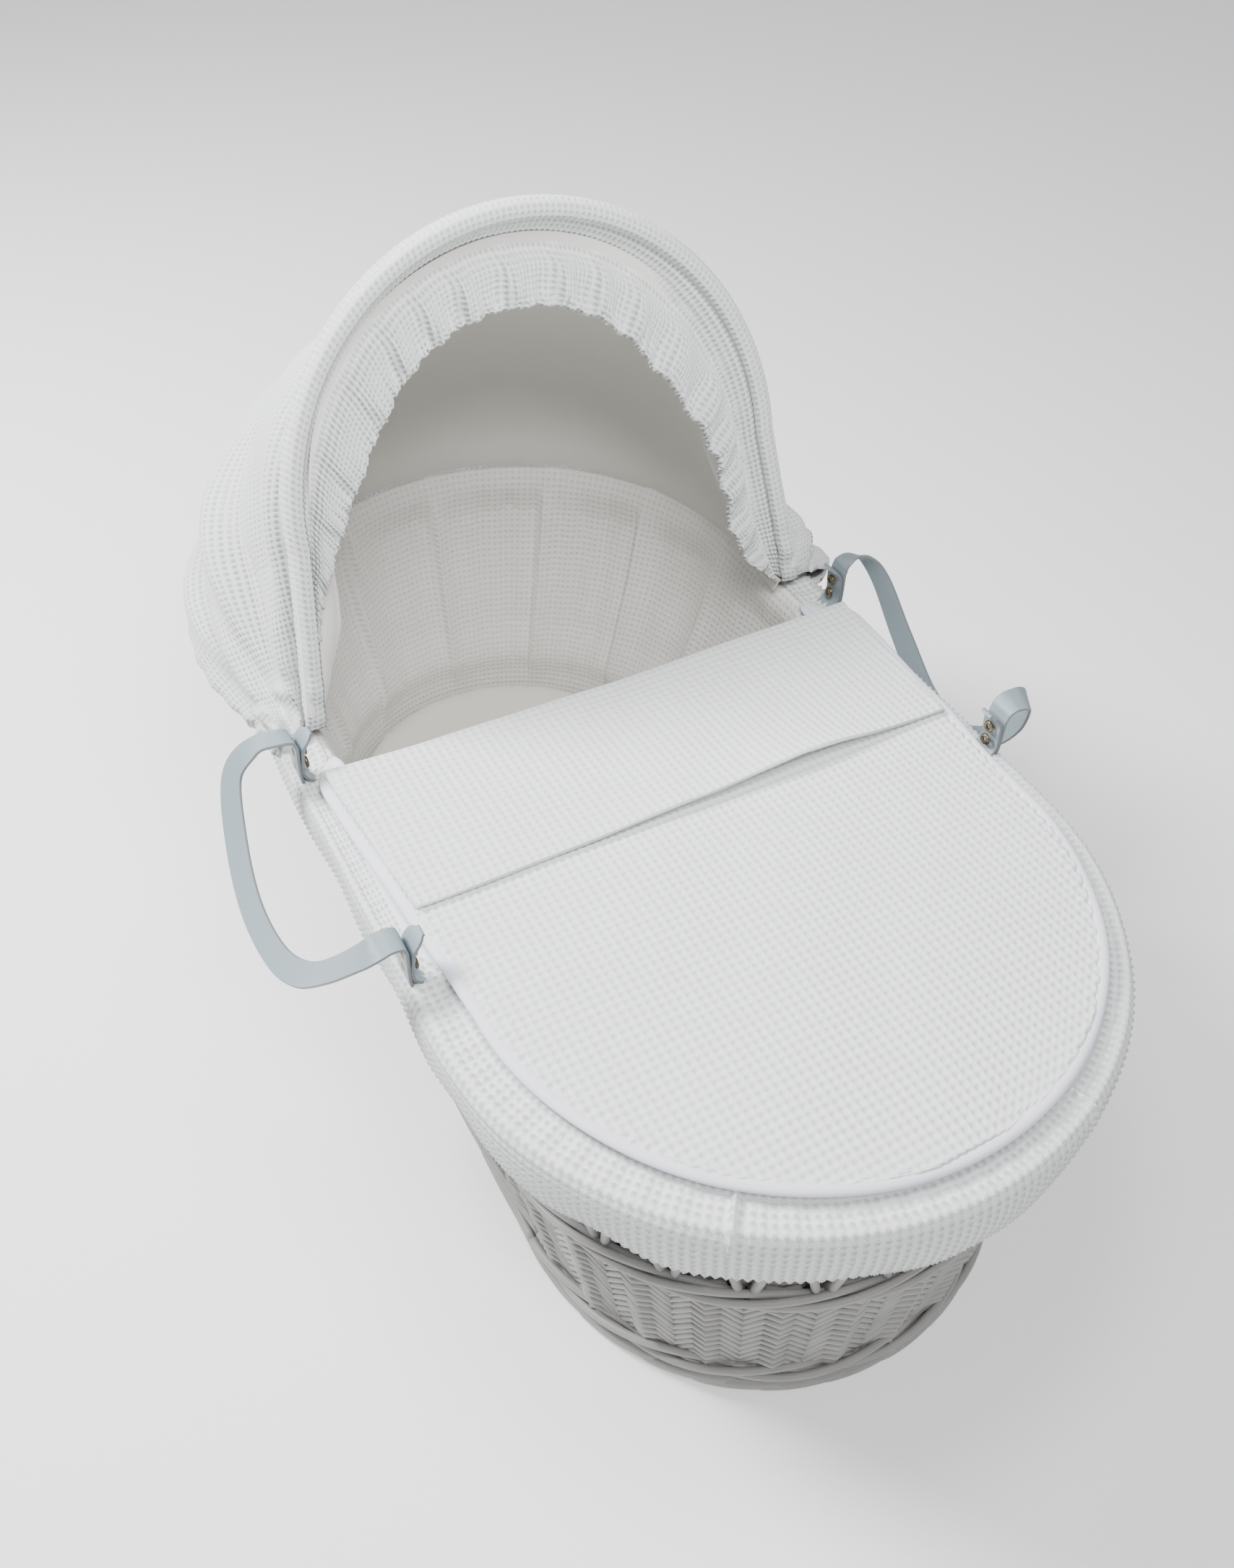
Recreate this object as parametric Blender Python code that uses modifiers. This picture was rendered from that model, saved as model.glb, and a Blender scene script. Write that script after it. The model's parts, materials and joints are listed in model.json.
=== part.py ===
"""A dressed moses basket: willow basket, padded liner, mattress, coverlet, folding hood and two carry straps.

Metres, +Z up, +X towards the foot end.  The origin is the middle of the base board's underside,
on the surface that the basket stands on.  Run it with: blender --background --python part.py
"""

import math

import bmesh
import bpy
from mathutils import Matrix, Vector

# ---- Driving sizes ----------------------------------------------------------------------------
GAP = 0.0004                 # clearance between pieces that rest on each other
STEP = 0.0008                # clearance round pieces that pass through others

# The basket's plan is a stadium: two straight sides and two half-round ends.
BASE_HALF_LENGTH = 0.368
BASE_HALF_WIDTH = 0.165
RIM_HALF_LENGTH = 0.3845      # to the middle of the wicker wall, at the rim
RIM_HALF_WIDTH = 0.2055
RIM_HEIGHT = 0.250           # middle of the rim border
ARC_STEPS = 14               # facets in each half-round end
SIDE_STEPS = 4               # facets along each straight side

BOARD_THICKNESS = 0.005
FOOT_CANE_RADIUS = 0.0075
WALL_THICKNESS = 0.010
WALE_RADIUS = 0.0060
LATTICE_CANE_RADIUS = 0.0025
LATTICE_HEIGHT = 0.078       # open band of slanted stakes under the rim
SIDE_PITCHES = 7            # slanted stake pairs along each straight side
END_PITCHES = 13             # and round each end
RIM_RADIUS = 0.011

LINER_THICKNESS = 0.009
FLOOR_CLOTH_THICKNESS = 0.001
CUFF_THICKNESS = 0.0075
CUFF_DROP = 0.045            # how far the cuff's hem hangs below the rim's middle
HEM_RADIUS = 0.0022
BINDING_THICKNESS = 0.0016
MATTRESS_THICKNESS = 0.038
MATTRESS_CLEARANCE = 0.002
MATTRESS_EDGE = 0.008

COVERLET_HEAD_X = -0.046
COVERLET_FOOT_X = 0.385      # outside of its binding at the foot
COVERLET_HEAD_HALF_WIDTH = 0.221
COVERLET_FOOT_HALF_WIDTH = 0.205
COVERLET_OFFSET = 0.004      # it lies a little to the right of the basket's middle
COVERLET_THICKNESS = 0.008
COVERLET_BINDING_RADIUS = 0.005
TURNBACK_LENGTH = 0.138
TURNBACK_THICKNESS = 0.004

HOOD_HINGE_X = -0.095
HOOD_TILT = 17               # degrees that the raised hoop leans back from upright
HOOD_HEIGHT = 0.309          # from the hinge line to the top of the arch
HOOD_ARCH_RADIUS = 0.183
HOOD_FOOT_HALF_WIDTH = 0.200
HOOD_FOOT_CLEARANCE = 0.012  # bare radius about the hinge line
HOOD_FOLDED = 88             # degrees from upright to the cloth's fixed edge on the head rim
HOOD_PANEL_LAP = 1
HOOD_PANELS = ("hood_front_panel", "hood_upper_panel", "hood_middle_panel", "hood_back_panel")
HOOD_PANEL_SPREAD = 0.007    # how much wider each panel's half width is than the one in front
HOOD_CLOTH_THICKNESS = 0.0025
HOOP_RADIUS = 0.0040
FRILL_WIDTH = 0.060
FRILL_THICKNESS = 0.004
HOOD_SKIRT_DROP = 0.040
HOOD_SKIRT_THICKNESS = 0.004

STRAP_WIDTH = 0.018
STRAP_THICKNESS = 0.0022
STRAP_LOOP_PITCHES = (-1.25, 2.5)  # where its two ends loop the rim, in stake pairs from the middle
STRAP_NECK_OUT = 0.0137       # how far out from the rim's middle its two layers are fastened
STRAP_SWING_ROOM = 0.0016    # bare length on each side of its swing line
STRAP_STAND = 0.0262         # straight height of the fastened layers above the dressing
STRAP_BEND_RADIUS = 0.010    # then the outer layer bends outwards to the swing line
STRAP_BEND = 45              # degrees
STUD_CAP_RADIUS = 0.0045
STUD_CAP_THICKNESS = 0.0018
STUD_POST_RADIUS = 0.0016
STUD_HEIGHTS = (0.0085, 0.0205)  # above the dressing

# ---- Sizes that follow ------------------------------------------------------------------------
LATTICE_PITCH = 2 * (RIM_HALF_LENGTH - RIM_HALF_WIDTH) / SIDE_PITCHES
LATTICE_TOP = RIM_HEIGHT - RIM_RADIUS - LATTICE_CANE_RADIUS - GAP
LATTICE_BOTTOM = LATTICE_TOP - LATTICE_HEIGHT
WALE_HEIGHT = LATTICE_BOTTOM - LATTICE_CANE_RADIUS - WALE_RADIUS - STEP
WALL_BOTTOM = 2 * FOOT_CANE_RADIUS + GAP
WALL_TOP = WALE_HEIGHT - WALE_RADIUS - GAP
LINER_OUT = -max(WALL_THICKNESS / 2, WALE_RADIUS) - STEP
DRESSING_UNDER = RIM_HEIGHT + RIM_RADIUS + GAP
DRESSING_TOP = DRESSING_UNDER + LINER_THICKNESS
COVERLET_UNDER = DRESSING_TOP + GAP
HOOD_SKIRT_TOP = DRESSING_TOP + GAP + HOOD_SKIRT_THICKNESS
HINGE_HEIGHT = HOOD_SKIRT_TOP + HOOD_CLOTH_THICKNESS / 2 + STEP
HOOD_PANEL_SPAN = (HOOD_FOLDED - HOOD_TILT + (len(HOOD_PANELS) - 1) * HOOD_PANEL_LAP) / len(HOOD_PANELS)
STRAP_LOOPS = tuple(pitches * LATTICE_PITCH for pitches in STRAP_LOOP_PITCHES)
STRAP_LAYER = STRAP_THICKNESS / 2 + GAP
SWING_OUT = (STRAP_NECK_OUT + STRAP_LAYER + STRAP_BEND_RADIUS * (1 - math.cos(math.radians(STRAP_BEND)))
             + STRAP_SWING_ROOM * math.sin(math.radians(STRAP_BEND)))
SWING_HEIGHT = (DRESSING_TOP + STRAP_STAND + STRAP_BEND_RADIUS * math.sin(math.radians(STRAP_BEND))
                + STRAP_SWING_ROOM * math.cos(math.radians(STRAP_BEND)))


# ---- Blender helpers --------------------------------------------------------------------------
def clear_scene():
    for thing in list(bpy.data.objects):
        bpy.data.objects.remove(thing)


def collection(name):
    made = bpy.data.collections.new(name)
    bpy.context.scene.collection.children.link(made)
    return made


def material(name, colour, roughness, metallic=0.0):
    made = bpy.data.materials.new(name)
    made.use_nodes = True
    shader = made.node_tree.nodes["Principled BSDF"]
    shader.inputs["Base Color"].default_value = (*colour, 1)
    shader.inputs["Roughness"].default_value = roughness
    shader.inputs["Metallic"].default_value = metallic
    return made


def place(name, data, finish, folder=None):
    thing = bpy.data.objects.new(name, data)
    (folder or parts).objects.link(thing)
    if finish is not None:
        data.materials.append(finish)
    return thing


def mesh_from(name, bm):
    bmesh.ops.recalc_face_normals(bm, faces=bm.faces)
    mesh = bpy.data.meshes.new(name)
    bm.to_mesh(mesh)
    bm.free()
    return mesh


def loft(name, rows, finish, closed):
    """A solid through rows of points that go once round its section; closed joins the last to the first."""
    bm = bmesh.new()
    rings = [[bm.verts.new(point) for point in row] for row in rows]
    count = len(rings)
    for i in range(count if closed else count - 1):
        here, there = rings[i], rings[(i + 1) % count]
        for j in range(len(here)):
            k = (j + 1) % len(here)
            bm.faces.new((here[j], here[k], there[k], there[j]))
    if not closed:
        bm.faces.new(rings[0])
        bm.faces.new(rings[-1])
    return place(name, mesh_from(name, bm), finish)


def tube(name, points, radius, finish, cyclic=False, resolution=1):
    curve = bpy.data.curves.new(name, "CURVE")
    curve.dimensions = "3D"
    curve.bevel_depth = radius
    curve.bevel_resolution = resolution
    curve.use_fill_caps = not cyclic
    spline = curve.splines.new("POLY")
    spline.points.add(len(points) - 1)
    for place_at, point in zip(spline.points, points):
        place_at.co = (*point, 1)
    spline.use_cyclic_u = cyclic
    return place(name, curve, finish)


def slab(name, outline, bottom, thickness, finish, edge=0.0):
    """A flat outline raised to a thickness, with its edges rounded if edge is set."""
    curve = bpy.data.curves.new(name, "CURVE")
    curve.dimensions = "2D"
    curve.fill_mode = "BOTH"
    curve.extrude = thickness / 2
    spline = curve.splines.new("POLY")
    spline.points.add(len(outline) - 1)
    for place_at, (x, y) in zip(spline.points, outline):
        place_at.co = (x, y, 0, 1)
    spline.use_cyclic_u = True
    thing = place(name, curve, finish)
    thing.location.z = bottom + thickness / 2
    if edge:
        weld = thing.modifiers.new("Weld", "WELD")
        weld.merge_threshold = 0.0001
        bevel = thing.modifiers.new("Bevel", "BEVEL")
        bevel.width = edge
        bevel.segments = 2
        bevel.angle_limit = math.radians(60)
    return thing


def ribbon(name, centres, across, thickness, finish):
    """A strap: an open strip, from each centre half a width to either side, with Solidify."""
    bm = bmesh.new()
    rows = []
    for centre, side in zip(centres, across):
        half = side.normalized() * STRAP_WIDTH / 2
        rows.append([bm.verts.new(centre - half), bm.verts.new(centre + half)])
    for here, there in zip(rows, rows[1:]):
        bm.faces.new((here[0], here[1], there[1], there[0]))
    thing = place(name, mesh_from(name, bm), finish)
    shell = thing.modifiers.new("Solidify", "SOLIDIFY")
    shell.thickness = thickness
    shell.offset = 0
    return thing


def cutter_box(name, low, high):
    bm = bmesh.new()
    bmesh.ops.create_cube(bm, size=1)
    size = [b - a for a, b in zip(low, high)]
    middle = [(a + b) / 2 for a, b in zip(low, high)]
    bmesh.ops.scale(bm, vec=size, verts=bm.verts)
    bmesh.ops.translate(bm, vec=middle, verts=bm.verts)
    thing = place(name, mesh_from(name, bm), None, cutters)
    thing.hide_render = True
    thing.display_type = "WIRE"
    return thing


def cutter_rod(name, radius, height, turn):
    bm = bmesh.new()
    bmesh.ops.create_cone(bm, cap_ends=True, segments=12, radius1=radius, radius2=radius,
                          depth=height, matrix=turn)
    thing = place(name, mesh_from(name, bm), None, cutters)
    thing.hide_render = True
    thing.display_type = "WIRE"
    return thing


def cut(thing, cutter):
    boolean = thing.modifiers.new("Cut", "BOOLEAN")
    boolean.operation = "DIFFERENCE"
    boolean.solver = "EXACT"
    boolean.object = cutter


# ---- The basket's plan ------------------------------------------------------------------------
def stadium(half_length, half_width):
    """Points round a stadium, anticlockwise from the foot end's right-hand corner."""
    straight = half_length - half_width
    points = []
    for end in (1, -1):
        for i in range(ARC_STEPS + 1):
            turn = math.radians(-90 + 180 * i / ARC_STEPS)
            points.append((end * (straight + half_width * math.cos(turn)),
                           end * half_width * math.sin(turn)))
        for i in range(1, SIDE_STEPS):
            points.append((end * straight * (1 - 2 * i / SIDE_STEPS), end * half_width))
    return points


def half_sizes(out, z):
    """The plan's half length and half width at a height, out from the middle of the wicker wall."""
    share = z / RIM_HEIGHT
    return (BASE_HALF_LENGTH + (RIM_HALF_LENGTH - BASE_HALF_LENGTH) * share + out,
            BASE_HALF_WIDTH + (RIM_HALF_WIDTH - BASE_HALF_WIDTH) * share + out)


def plan_at(out, z):
    return [Vector((x, y, z)) for x, y in stadium(*half_sizes(out, z))]


def ring(name, section, finish):
    """A ring that follows the basket's sloping wall; its section is (out, z) points."""
    columns = [plan_at(out, z) for out, z in section]
    return loft(name, list(zip(*columns)), finish, closed=True)


def side_y(out, z, side):
    return side * half_sizes(out, z)[1]


# ---- Willow basket ----------------------------------------------------------------------------
def base_board():
    slab("base_board", stadium(*half_sizes(-GAP, 0)), 0, BOARD_THICKNESS, wood)


def foot_border():
    tube("foot_border", plan_at(FOOT_CANE_RADIUS, FOOT_CANE_RADIUS), FOOT_CANE_RADIUS, willow,
         cyclic=True)


def woven_wall():
    half = WALL_THICKNESS / 2
    ring("woven_wall", [(-half, WALL_BOTTOM), (FOOT_CANE_RADIUS, WALL_BOTTOM), (half, WALL_TOP),
                        (-half, WALL_TOP)], willow)


def upper_wale():
    tube("upper_wale", plan_at(0, WALE_HEIGHT), WALE_RADIUS, willow, cyclic=True)


def lattice_points():
    """The slanted stakes as one zigzag, with its low points where the sides meet the ends."""
    points = []
    for end in (1, -1):
        for i in range(2 * END_PITCHES):
            z = LATTICE_TOP if i % 2 else LATTICE_BOTTOM
            half_length, half_width = half_sizes(0, z)
            turn = math.radians(-90 + 90 * i / END_PITCHES)
            points.append(Vector((end * (half_length - half_width + half_width * math.cos(turn)),
                                  end * half_width * math.sin(turn), z)))
        for i in range(2 * SIDE_PITCHES):
            z = LATTICE_TOP if i % 2 else LATTICE_BOTTOM
            half_length, half_width = half_sizes(0, z)
            straight = half_length - half_width
            points.append(Vector((end * straight * (1 - i / SIDE_PITCHES), end * half_width, z)))
    return points


def stake_lattice():
    tube("stake_lattice", lattice_points(), LATTICE_CANE_RADIUS, willow, cyclic=True, resolution=0)


def rim_border():
    tube("rim_border", plan_at(0, RIM_HEIGHT), RIM_RADIUS, willow, cyclic=True)


# ---- Dressing ---------------------------------------------------------------------------------
def rim_cutters():
    """Where the strap loops pass the dressing, and the long slot between them on each side."""
    inward = RIM_RADIUS + STEP + STRAP_THICKNESS + STEP
    outward = STRAP_NECK_OUT + STRAP_LAYER + STRAP_THICKNESS / 2 + STEP
    made = []
    for side in (-1, 1):
        middle = side_y(0, RIM_HEIGHT, side)
        for x in STRAP_LOOPS:
            half = STRAP_WIDTH / 2 + STEP
            ys = sorted((middle - side * inward, middle + side * outward))
            low = (x - half, ys[0], RIM_HEIGHT - 2 * inward)
            high = (x + half, ys[1], DRESSING_TOP + STEP)
            made.append(cutter_box(f"loop_cutter_{len(made)}", low, high))
        edges = sorted((middle, side_y(LINER_THICKNESS, RIM_HEIGHT, side)))
        low = (STRAP_LOOPS[0], edges[0], RIM_HEIGHT)
        high = (STRAP_LOOPS[1], edges[1], DRESSING_TOP + STEP)
        made.append(cutter_box(f"slot_cutter_{len(made)}", low, high))
    return made


def liner():
    inner = LINER_OUT - LINER_THICKNESS
    rim_side = -(RIM_RADIUS + GAP)
    z = RIM_HEIGHT
    section = [
        (LINER_OUT, BOARD_THICKNESS + GAP), (LINER_OUT, LATTICE_TOP - RIM_RADIUS / 2),
        (rim_side, z - RIM_RADIUS / 2), (rim_side, z + RIM_RADIUS / 2),
        (-RIM_RADIUS / 2, DRESSING_UNDER), (0, DRESSING_UNDER), (0, DRESSING_TOP),
        (-RIM_RADIUS / 2, DRESSING_TOP), (rim_side - LINER_THICKNESS / 2, z + RIM_RADIUS),
        (rim_side - LINER_THICKNESS, z), (inner, LATTICE_TOP - RIM_RADIUS),
        (inner, BOARD_THICKNESS + GAP),
    ]
    return ring("liner", section, waffle)


def liner_floor():
    out = LINER_OUT - LINER_THICKNESS - GAP
    slab("liner_floor", stadium(*half_sizes(out, BOARD_THICKNESS)), BOARD_THICKNESS + GAP,
         FLOOR_CLOTH_THICKNESS, cotton)


def cuff():
    hem = RIM_HEIGHT - CUFF_DROP
    inner = RIM_RADIUS + STEP
    outer = inner + CUFF_THICKNESS
    section = [
        (GAP, DRESSING_TOP), (GAP, DRESSING_UNDER), (RIM_RADIUS / 2, DRESSING_UNDER),
        (inner, RIM_HEIGHT + RIM_RADIUS / 2), (inner, hem), (outer, hem),
        (outer + CUFF_THICKNESS / 8, RIM_HEIGHT - CUFF_DROP / 2),
        (outer - CUFF_THICKNESS / 8, RIM_HEIGHT), (RIM_RADIUS, DRESSING_TOP - LINER_THICKNESS / 3),
    ]
    return ring("cuff", section, waffle)


def cuff_elastic():
    z = RIM_HEIGHT - CUFF_DROP - HEM_RADIUS - GAP
    tube("cuff_elastic", plan_at(RIM_RADIUS + STEP + CUFF_THICKNESS / 2, z), HEM_RADIUS, cotton,
         cyclic=True)


def slot_bindings():
    for side, name in ((-1, "left"), (1, "right")):
        outer = LINER_THICKNESS - GAP
        ys = sorted(side_y(out, RIM_HEIGHT, side) for out in (outer - BINDING_THICKNESS, outer))
        half = STRAP_WIDTH / 2 + STEP + GAP
        thing = cutter_box(f"{name}_slot_binding", (STRAP_LOOPS[0] + half, ys[0], DRESSING_UNDER + GAP),
                           (STRAP_LOOPS[1] - half, ys[1], DRESSING_TOP))
        thing.hide_render = False
        thing.display_type = "SOLID"
        cutters.objects.unlink(thing)
        parts.objects.link(thing)
        thing.data.materials.append(cotton)


def mattress():
    bottom = BOARD_THICKNESS + FLOOR_CLOTH_THICKNESS + 2 * GAP
    out = LINER_OUT - LINER_THICKNESS - MATTRESS_CLEARANCE
    slab("mattress", stadium(*half_sizes(out, bottom)), bottom, MATTRESS_THICKNESS, cotton,
         edge=MATTRESS_EDGE)


# ---- Coverlet ---------------------------------------------------------------------------------
def coverlet_edge(inset):
    """The coverlet's side and foot edges, from its head right corner round the foot to its head left."""
    radius = COVERLET_FOOT_HALF_WIDTH - inset
    centre = COVERLET_FOOT_X - COVERLET_FOOT_HALF_WIDTH
    head = COVERLET_HEAD_HALF_WIDTH - inset
    points = [Vector((COVERLET_HEAD_X, COVERLET_OFFSET - head))]
    for i in range(2 * ARC_STEPS + 1):
        turn = math.radians(-90 + 90 * i / ARC_STEPS)
        points.append(Vector((centre + radius * math.cos(turn), COVERLET_OFFSET + radius * math.sin(turn))))
    points.append(Vector((COVERLET_HEAD_X, COVERLET_OFFSET + head)))
    return points


def coverlet_half_width(x, inset):
    share = (x - COVERLET_HEAD_X) / (COVERLET_FOOT_X - COVERLET_FOOT_HALF_WIDTH - COVERLET_HEAD_X)
    return COVERLET_HEAD_HALF_WIDTH + (COVERLET_FOOT_HALF_WIDTH - COVERLET_HEAD_HALF_WIDTH) * share - inset


def coverlet():
    inset = 2 * COVERLET_BINDING_RADIUS + GAP
    slab("coverlet_panel", coverlet_edge(inset), COVERLET_UNDER, COVERLET_THICKNESS, waffle)
    centre_z = COVERLET_UNDER + COVERLET_BINDING_RADIUS
    path = [Vector((*point, centre_z)) for point in coverlet_edge(COVERLET_BINDING_RADIUS)]
    tube("coverlet_binding", path, COVERLET_BINDING_RADIUS, cotton)
    hem = COVERLET_HEAD_X + TURNBACK_LENGTH
    corners = ((COVERLET_HEAD_X, -1), (hem, -1), (hem, 1), (COVERLET_HEAD_X, 1))
    outline = [(x, COVERLET_OFFSET + side * coverlet_half_width(x, inset)) for x, side in corners]
    slab("coverlet_turnback", outline, COVERLET_UNDER + COVERLET_THICKNESS + GAP, TURNBACK_THICKNESS,
         waffle)


# ---- Hood -------------------------------------------------------------------------------------
def hood_arch(inset=0.0, steps=12, spread=0.0, rise=0.0):
    """The arch as (across, up) points from the hinge line: a half circle on two legs that splay out."""
    radius = HOOD_ARCH_RADIUS + spread - inset
    spring = HOOD_HEIGHT + rise - inset - radius
    foot = HOOD_FOOT_HALF_WIDTH + spread - inset
    arc = [(radius * math.cos(math.pi * i / steps), spring + radius * math.sin(math.pi * i / steps))
           for i in range(steps + 1)]
    return [(foot, HOOD_FOOT_CLEARANCE), *arc, (-foot, HOOD_FOOT_CLEARANCE)]


def hood_place(back):
    """From a flat arch (across = X, up = Y) to the hood's hinge line, leaning back by an angle."""
    lean = Matrix.Rotation(-math.radians(back), 4, "Y")
    upright = Matrix(((0, 0, 1, 0), (1, 0, 0, 0), (0, 1, 0, 0), (0, 0, 0, 1)))
    return Matrix.Translation((HOOD_HINGE_X, 0, HINGE_HEIGHT)) @ lean @ upright


def hood_panels():
    """Laps of cloth that turn about the hinge line and slide over each other as the hood folds."""
    rise = HOOD_CLOTH_THICKNESS + STEP
    for i, name in enumerate(HOOD_PANELS):
        start = HOOD_TILT + i * (HOOD_PANEL_SPAN - HOOD_PANEL_LAP)
        outline = hood_arch(spread=i * HOOD_PANEL_SPREAD, rise=i * rise)
        bm = bmesh.new()
        corners = [bm.verts.new((0, across, up)) for across, up in outline]
        for here, there in zip(corners, corners[1:]):
            bm.edges.new((here, there))
        mesh = bpy.data.meshes.new(name)
        bm.to_mesh(mesh)
        bm.free()
        thing = place(name, mesh, waffle)
        thing.location = (HOOD_HINGE_X, 0, HINGE_HEIGHT)
        thing.rotation_euler.y = -math.radians(start)
        turn = thing.modifiers.new("Screw", "SCREW")
        turn.axis = "Y"
        turn.angle = -math.radians(HOOD_PANEL_SPAN)
        turn.steps = turn.render_steps = 3
        turn.use_merge_vertices = False
        shell = thing.modifiers.new("Solidify", "SOLIDIFY")
        shell.thickness = HOOD_CLOTH_THICKNESS
        shell.offset = 0


def hood_hoop():
    forward = HOOP_RADIUS + GAP
    at = hood_place(HOOD_TILT) @ Matrix.Translation((0, 0, forward))
    points = [at @ Vector((across, up, 0)) for across, up in hood_arch(steps=20)]
    tube("hood_hoop", points, HOOP_RADIUS, steel)


def hood_frill():
    """The gathered band inside the hoop, as a flat arch."""
    outer = hood_arch(inset=HOOP_RADIUS + STEP, steps=20)
    inner = hood_arch(inset=HOOP_RADIUS + STEP + FRILL_WIDTH, steps=20)
    foot = (HOOD_FOOT_HALF_WIDTH - HOOP_RADIUS - STEP - FRILL_WIDTH / 3)
    inner[0], inner[-1] = (foot, HOOD_FOOT_CLEARANCE), (-foot, HOOD_FOOT_CLEARANCE)
    thing = slab("hood_frill", outer + inner[::-1], 0, FRILL_THICKNESS, waffle)
    thing.location = (0, 0, 0)
    forward = HOOP_RADIUS + GAP
    thing.matrix_world = hood_place(HOOD_TILT) @ Matrix.Translation((0, 0, forward))


def head_end(out, z):
    """The plan from the hinge line back round the head end."""
    half_length, half_width = half_sizes(out, z)
    straight = half_length - half_width
    points = [Vector((HOOD_HINGE_X, half_width, z))]
    for i in range(ARC_STEPS + 1):
        turn = math.radians(90 + 180 * i / ARC_STEPS)
        points.append(Vector((half_width * math.cos(turn) - straight, half_width * math.sin(turn), z)))
    points.append(Vector((HOOD_HINGE_X, -half_width, z)))
    return points


def hood_skirt():
    """The hood's hem: over the rim at the head end, and down outside the cuff."""
    inner = RIM_RADIUS + STEP + CUFF_THICKNESS * 9 / 8 + STEP
    outer = inner + HOOD_SKIRT_THICKNESS
    under = DRESSING_TOP + GAP
    hem = under - HOOD_SKIRT_DROP
    section = [(-RIM_RADIUS, under), (inner, under), (inner, hem), (outer, hem),
               (outer, HOOD_SKIRT_TOP), (-RIM_RADIUS, HOOD_SKIRT_TOP)]
    rows = list(zip(*[head_end(out, z) for out, z in section]))
    loft("hood_skirt", rows, waffle, closed=False)


# ---- Carry straps -----------------------------------------------------------------------------
def loop_path(side):
    """A strap end in (out, z): over from the swing line, down, round the rim and up to its tip."""
    around = RIM_RADIUS + STEP + STRAP_THICKNESS / 2
    outer, inner = STRAP_NECK_OUT + STRAP_LAYER, STRAP_NECK_OUT - STRAP_LAYER
    neck = DRESSING_TOP + 2 * STEP
    stand = DRESSING_TOP + STRAP_STAND
    path = []
    for turn in (STRAP_BEND, STRAP_BEND / 2, 0):
        turn = math.radians(turn)
        path.append((outer + STRAP_BEND_RADIUS * (1 - math.cos(turn)),
                     stand + STRAP_BEND_RADIUS * math.sin(turn)))
    path.append((outer, neck))
    for turn in range(20, -241, -20):
        turn = math.radians(turn)
        path.append((around * math.cos(turn), RIM_HEIGHT + around * math.sin(turn)))
    path += [(inner, neck), (inner, stand)]
    middle = side_y(0, RIM_HEIGHT, side)
    return [Vector((0, middle + side * out, z)) for out, z in path]


def strap_ends():
    for side, side_name in ((-1, "left"), (1, "right")):
        for x, end_name in zip(STRAP_LOOPS, ("head", "foot")):
            name = f"{side_name}_{end_name}"
            centres = [point + Vector((x, 0, 0)) for point in loop_path(side)]
            thing = ribbon(f"{name}_strap_end", centres, [Vector((1, 0, 0))] * len(centres),
                           STRAP_THICKNESS, leatherette)
            for i, height in enumerate(STUD_HEIGHTS):
                press_stud(f"{name}_stud_{i + 1}", x, side, DRESSING_TOP + height, thing)


def press_stud(name, x, side, z, strap_end):
    """A cap and post outside the strap, through both layers, into a ring on the inside."""
    layer = STRAP_THICKNESS + 2 * GAP
    middle = side_y(0, RIM_HEIGHT, side)
    turn = Matrix.Rotation(-side * math.pi / 2, 4, "X")

    def at(out):
        return Matrix.Translation((x, middle + side * (STRAP_NECK_OUT + out), z)) @ turn

    cut(strap_end, cutter_rod(f"{name}_hole", STUD_POST_RADIUS + STEP, 4 * layer, at(0)))
    cap = STUD_CAP_THICKNESS
    rod = cutter_rod
    bm = bmesh.new()
    bmesh.ops.create_cone(bm, cap_ends=True, segments=14, radius1=STUD_CAP_RADIUS,
                          radius2=STUD_CAP_RADIUS * 0.8, depth=cap, matrix=at(layer + cap / 2))
    head = place(name, mesh_from(name, bm), steel)
    post = rod(f"{name}_post", STUD_POST_RADIUS, 2 * layer + cap, at(cap / 2))
    join = head.modifiers.new("Join", "BOOLEAN")
    join.operation = "UNION"
    join.solver = "EXACT"
    join.object = post
    bm = bmesh.new()
    bmesh.ops.create_cone(bm, cap_ends=True, segments=14, radius1=STUD_CAP_RADIUS * 0.8,
                          radius2=STUD_CAP_RADIUS, depth=cap, matrix=at(-layer - cap / 2))
    socket = place(f"{name}_socket", mesh_from(name, bm), steel)
    cut(socket, rod(f"{name}_socket_hole", STUD_POST_RADIUS + STEP, 4 * layer, at(-2 * layer)))


def smooth(points, steps):
    """A Catmull-Rom curve through the points."""
    found = []
    padded = [2 * points[0] - points[1], *points, 2 * points[-1] - points[-2]]
    for a, b, c, d in zip(padded, padded[1:], padded[2:], padded[3:]):
        for i in range(steps):
            t = i / steps
            found.append(0.5 * (2 * b + (c - a) * t + (2 * a - 5 * b + 4 * c - d) * t ** 2
                                + (3 * b - a - 3 * c + d) * t ** 3))
    return found + [points[-1]]


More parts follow.
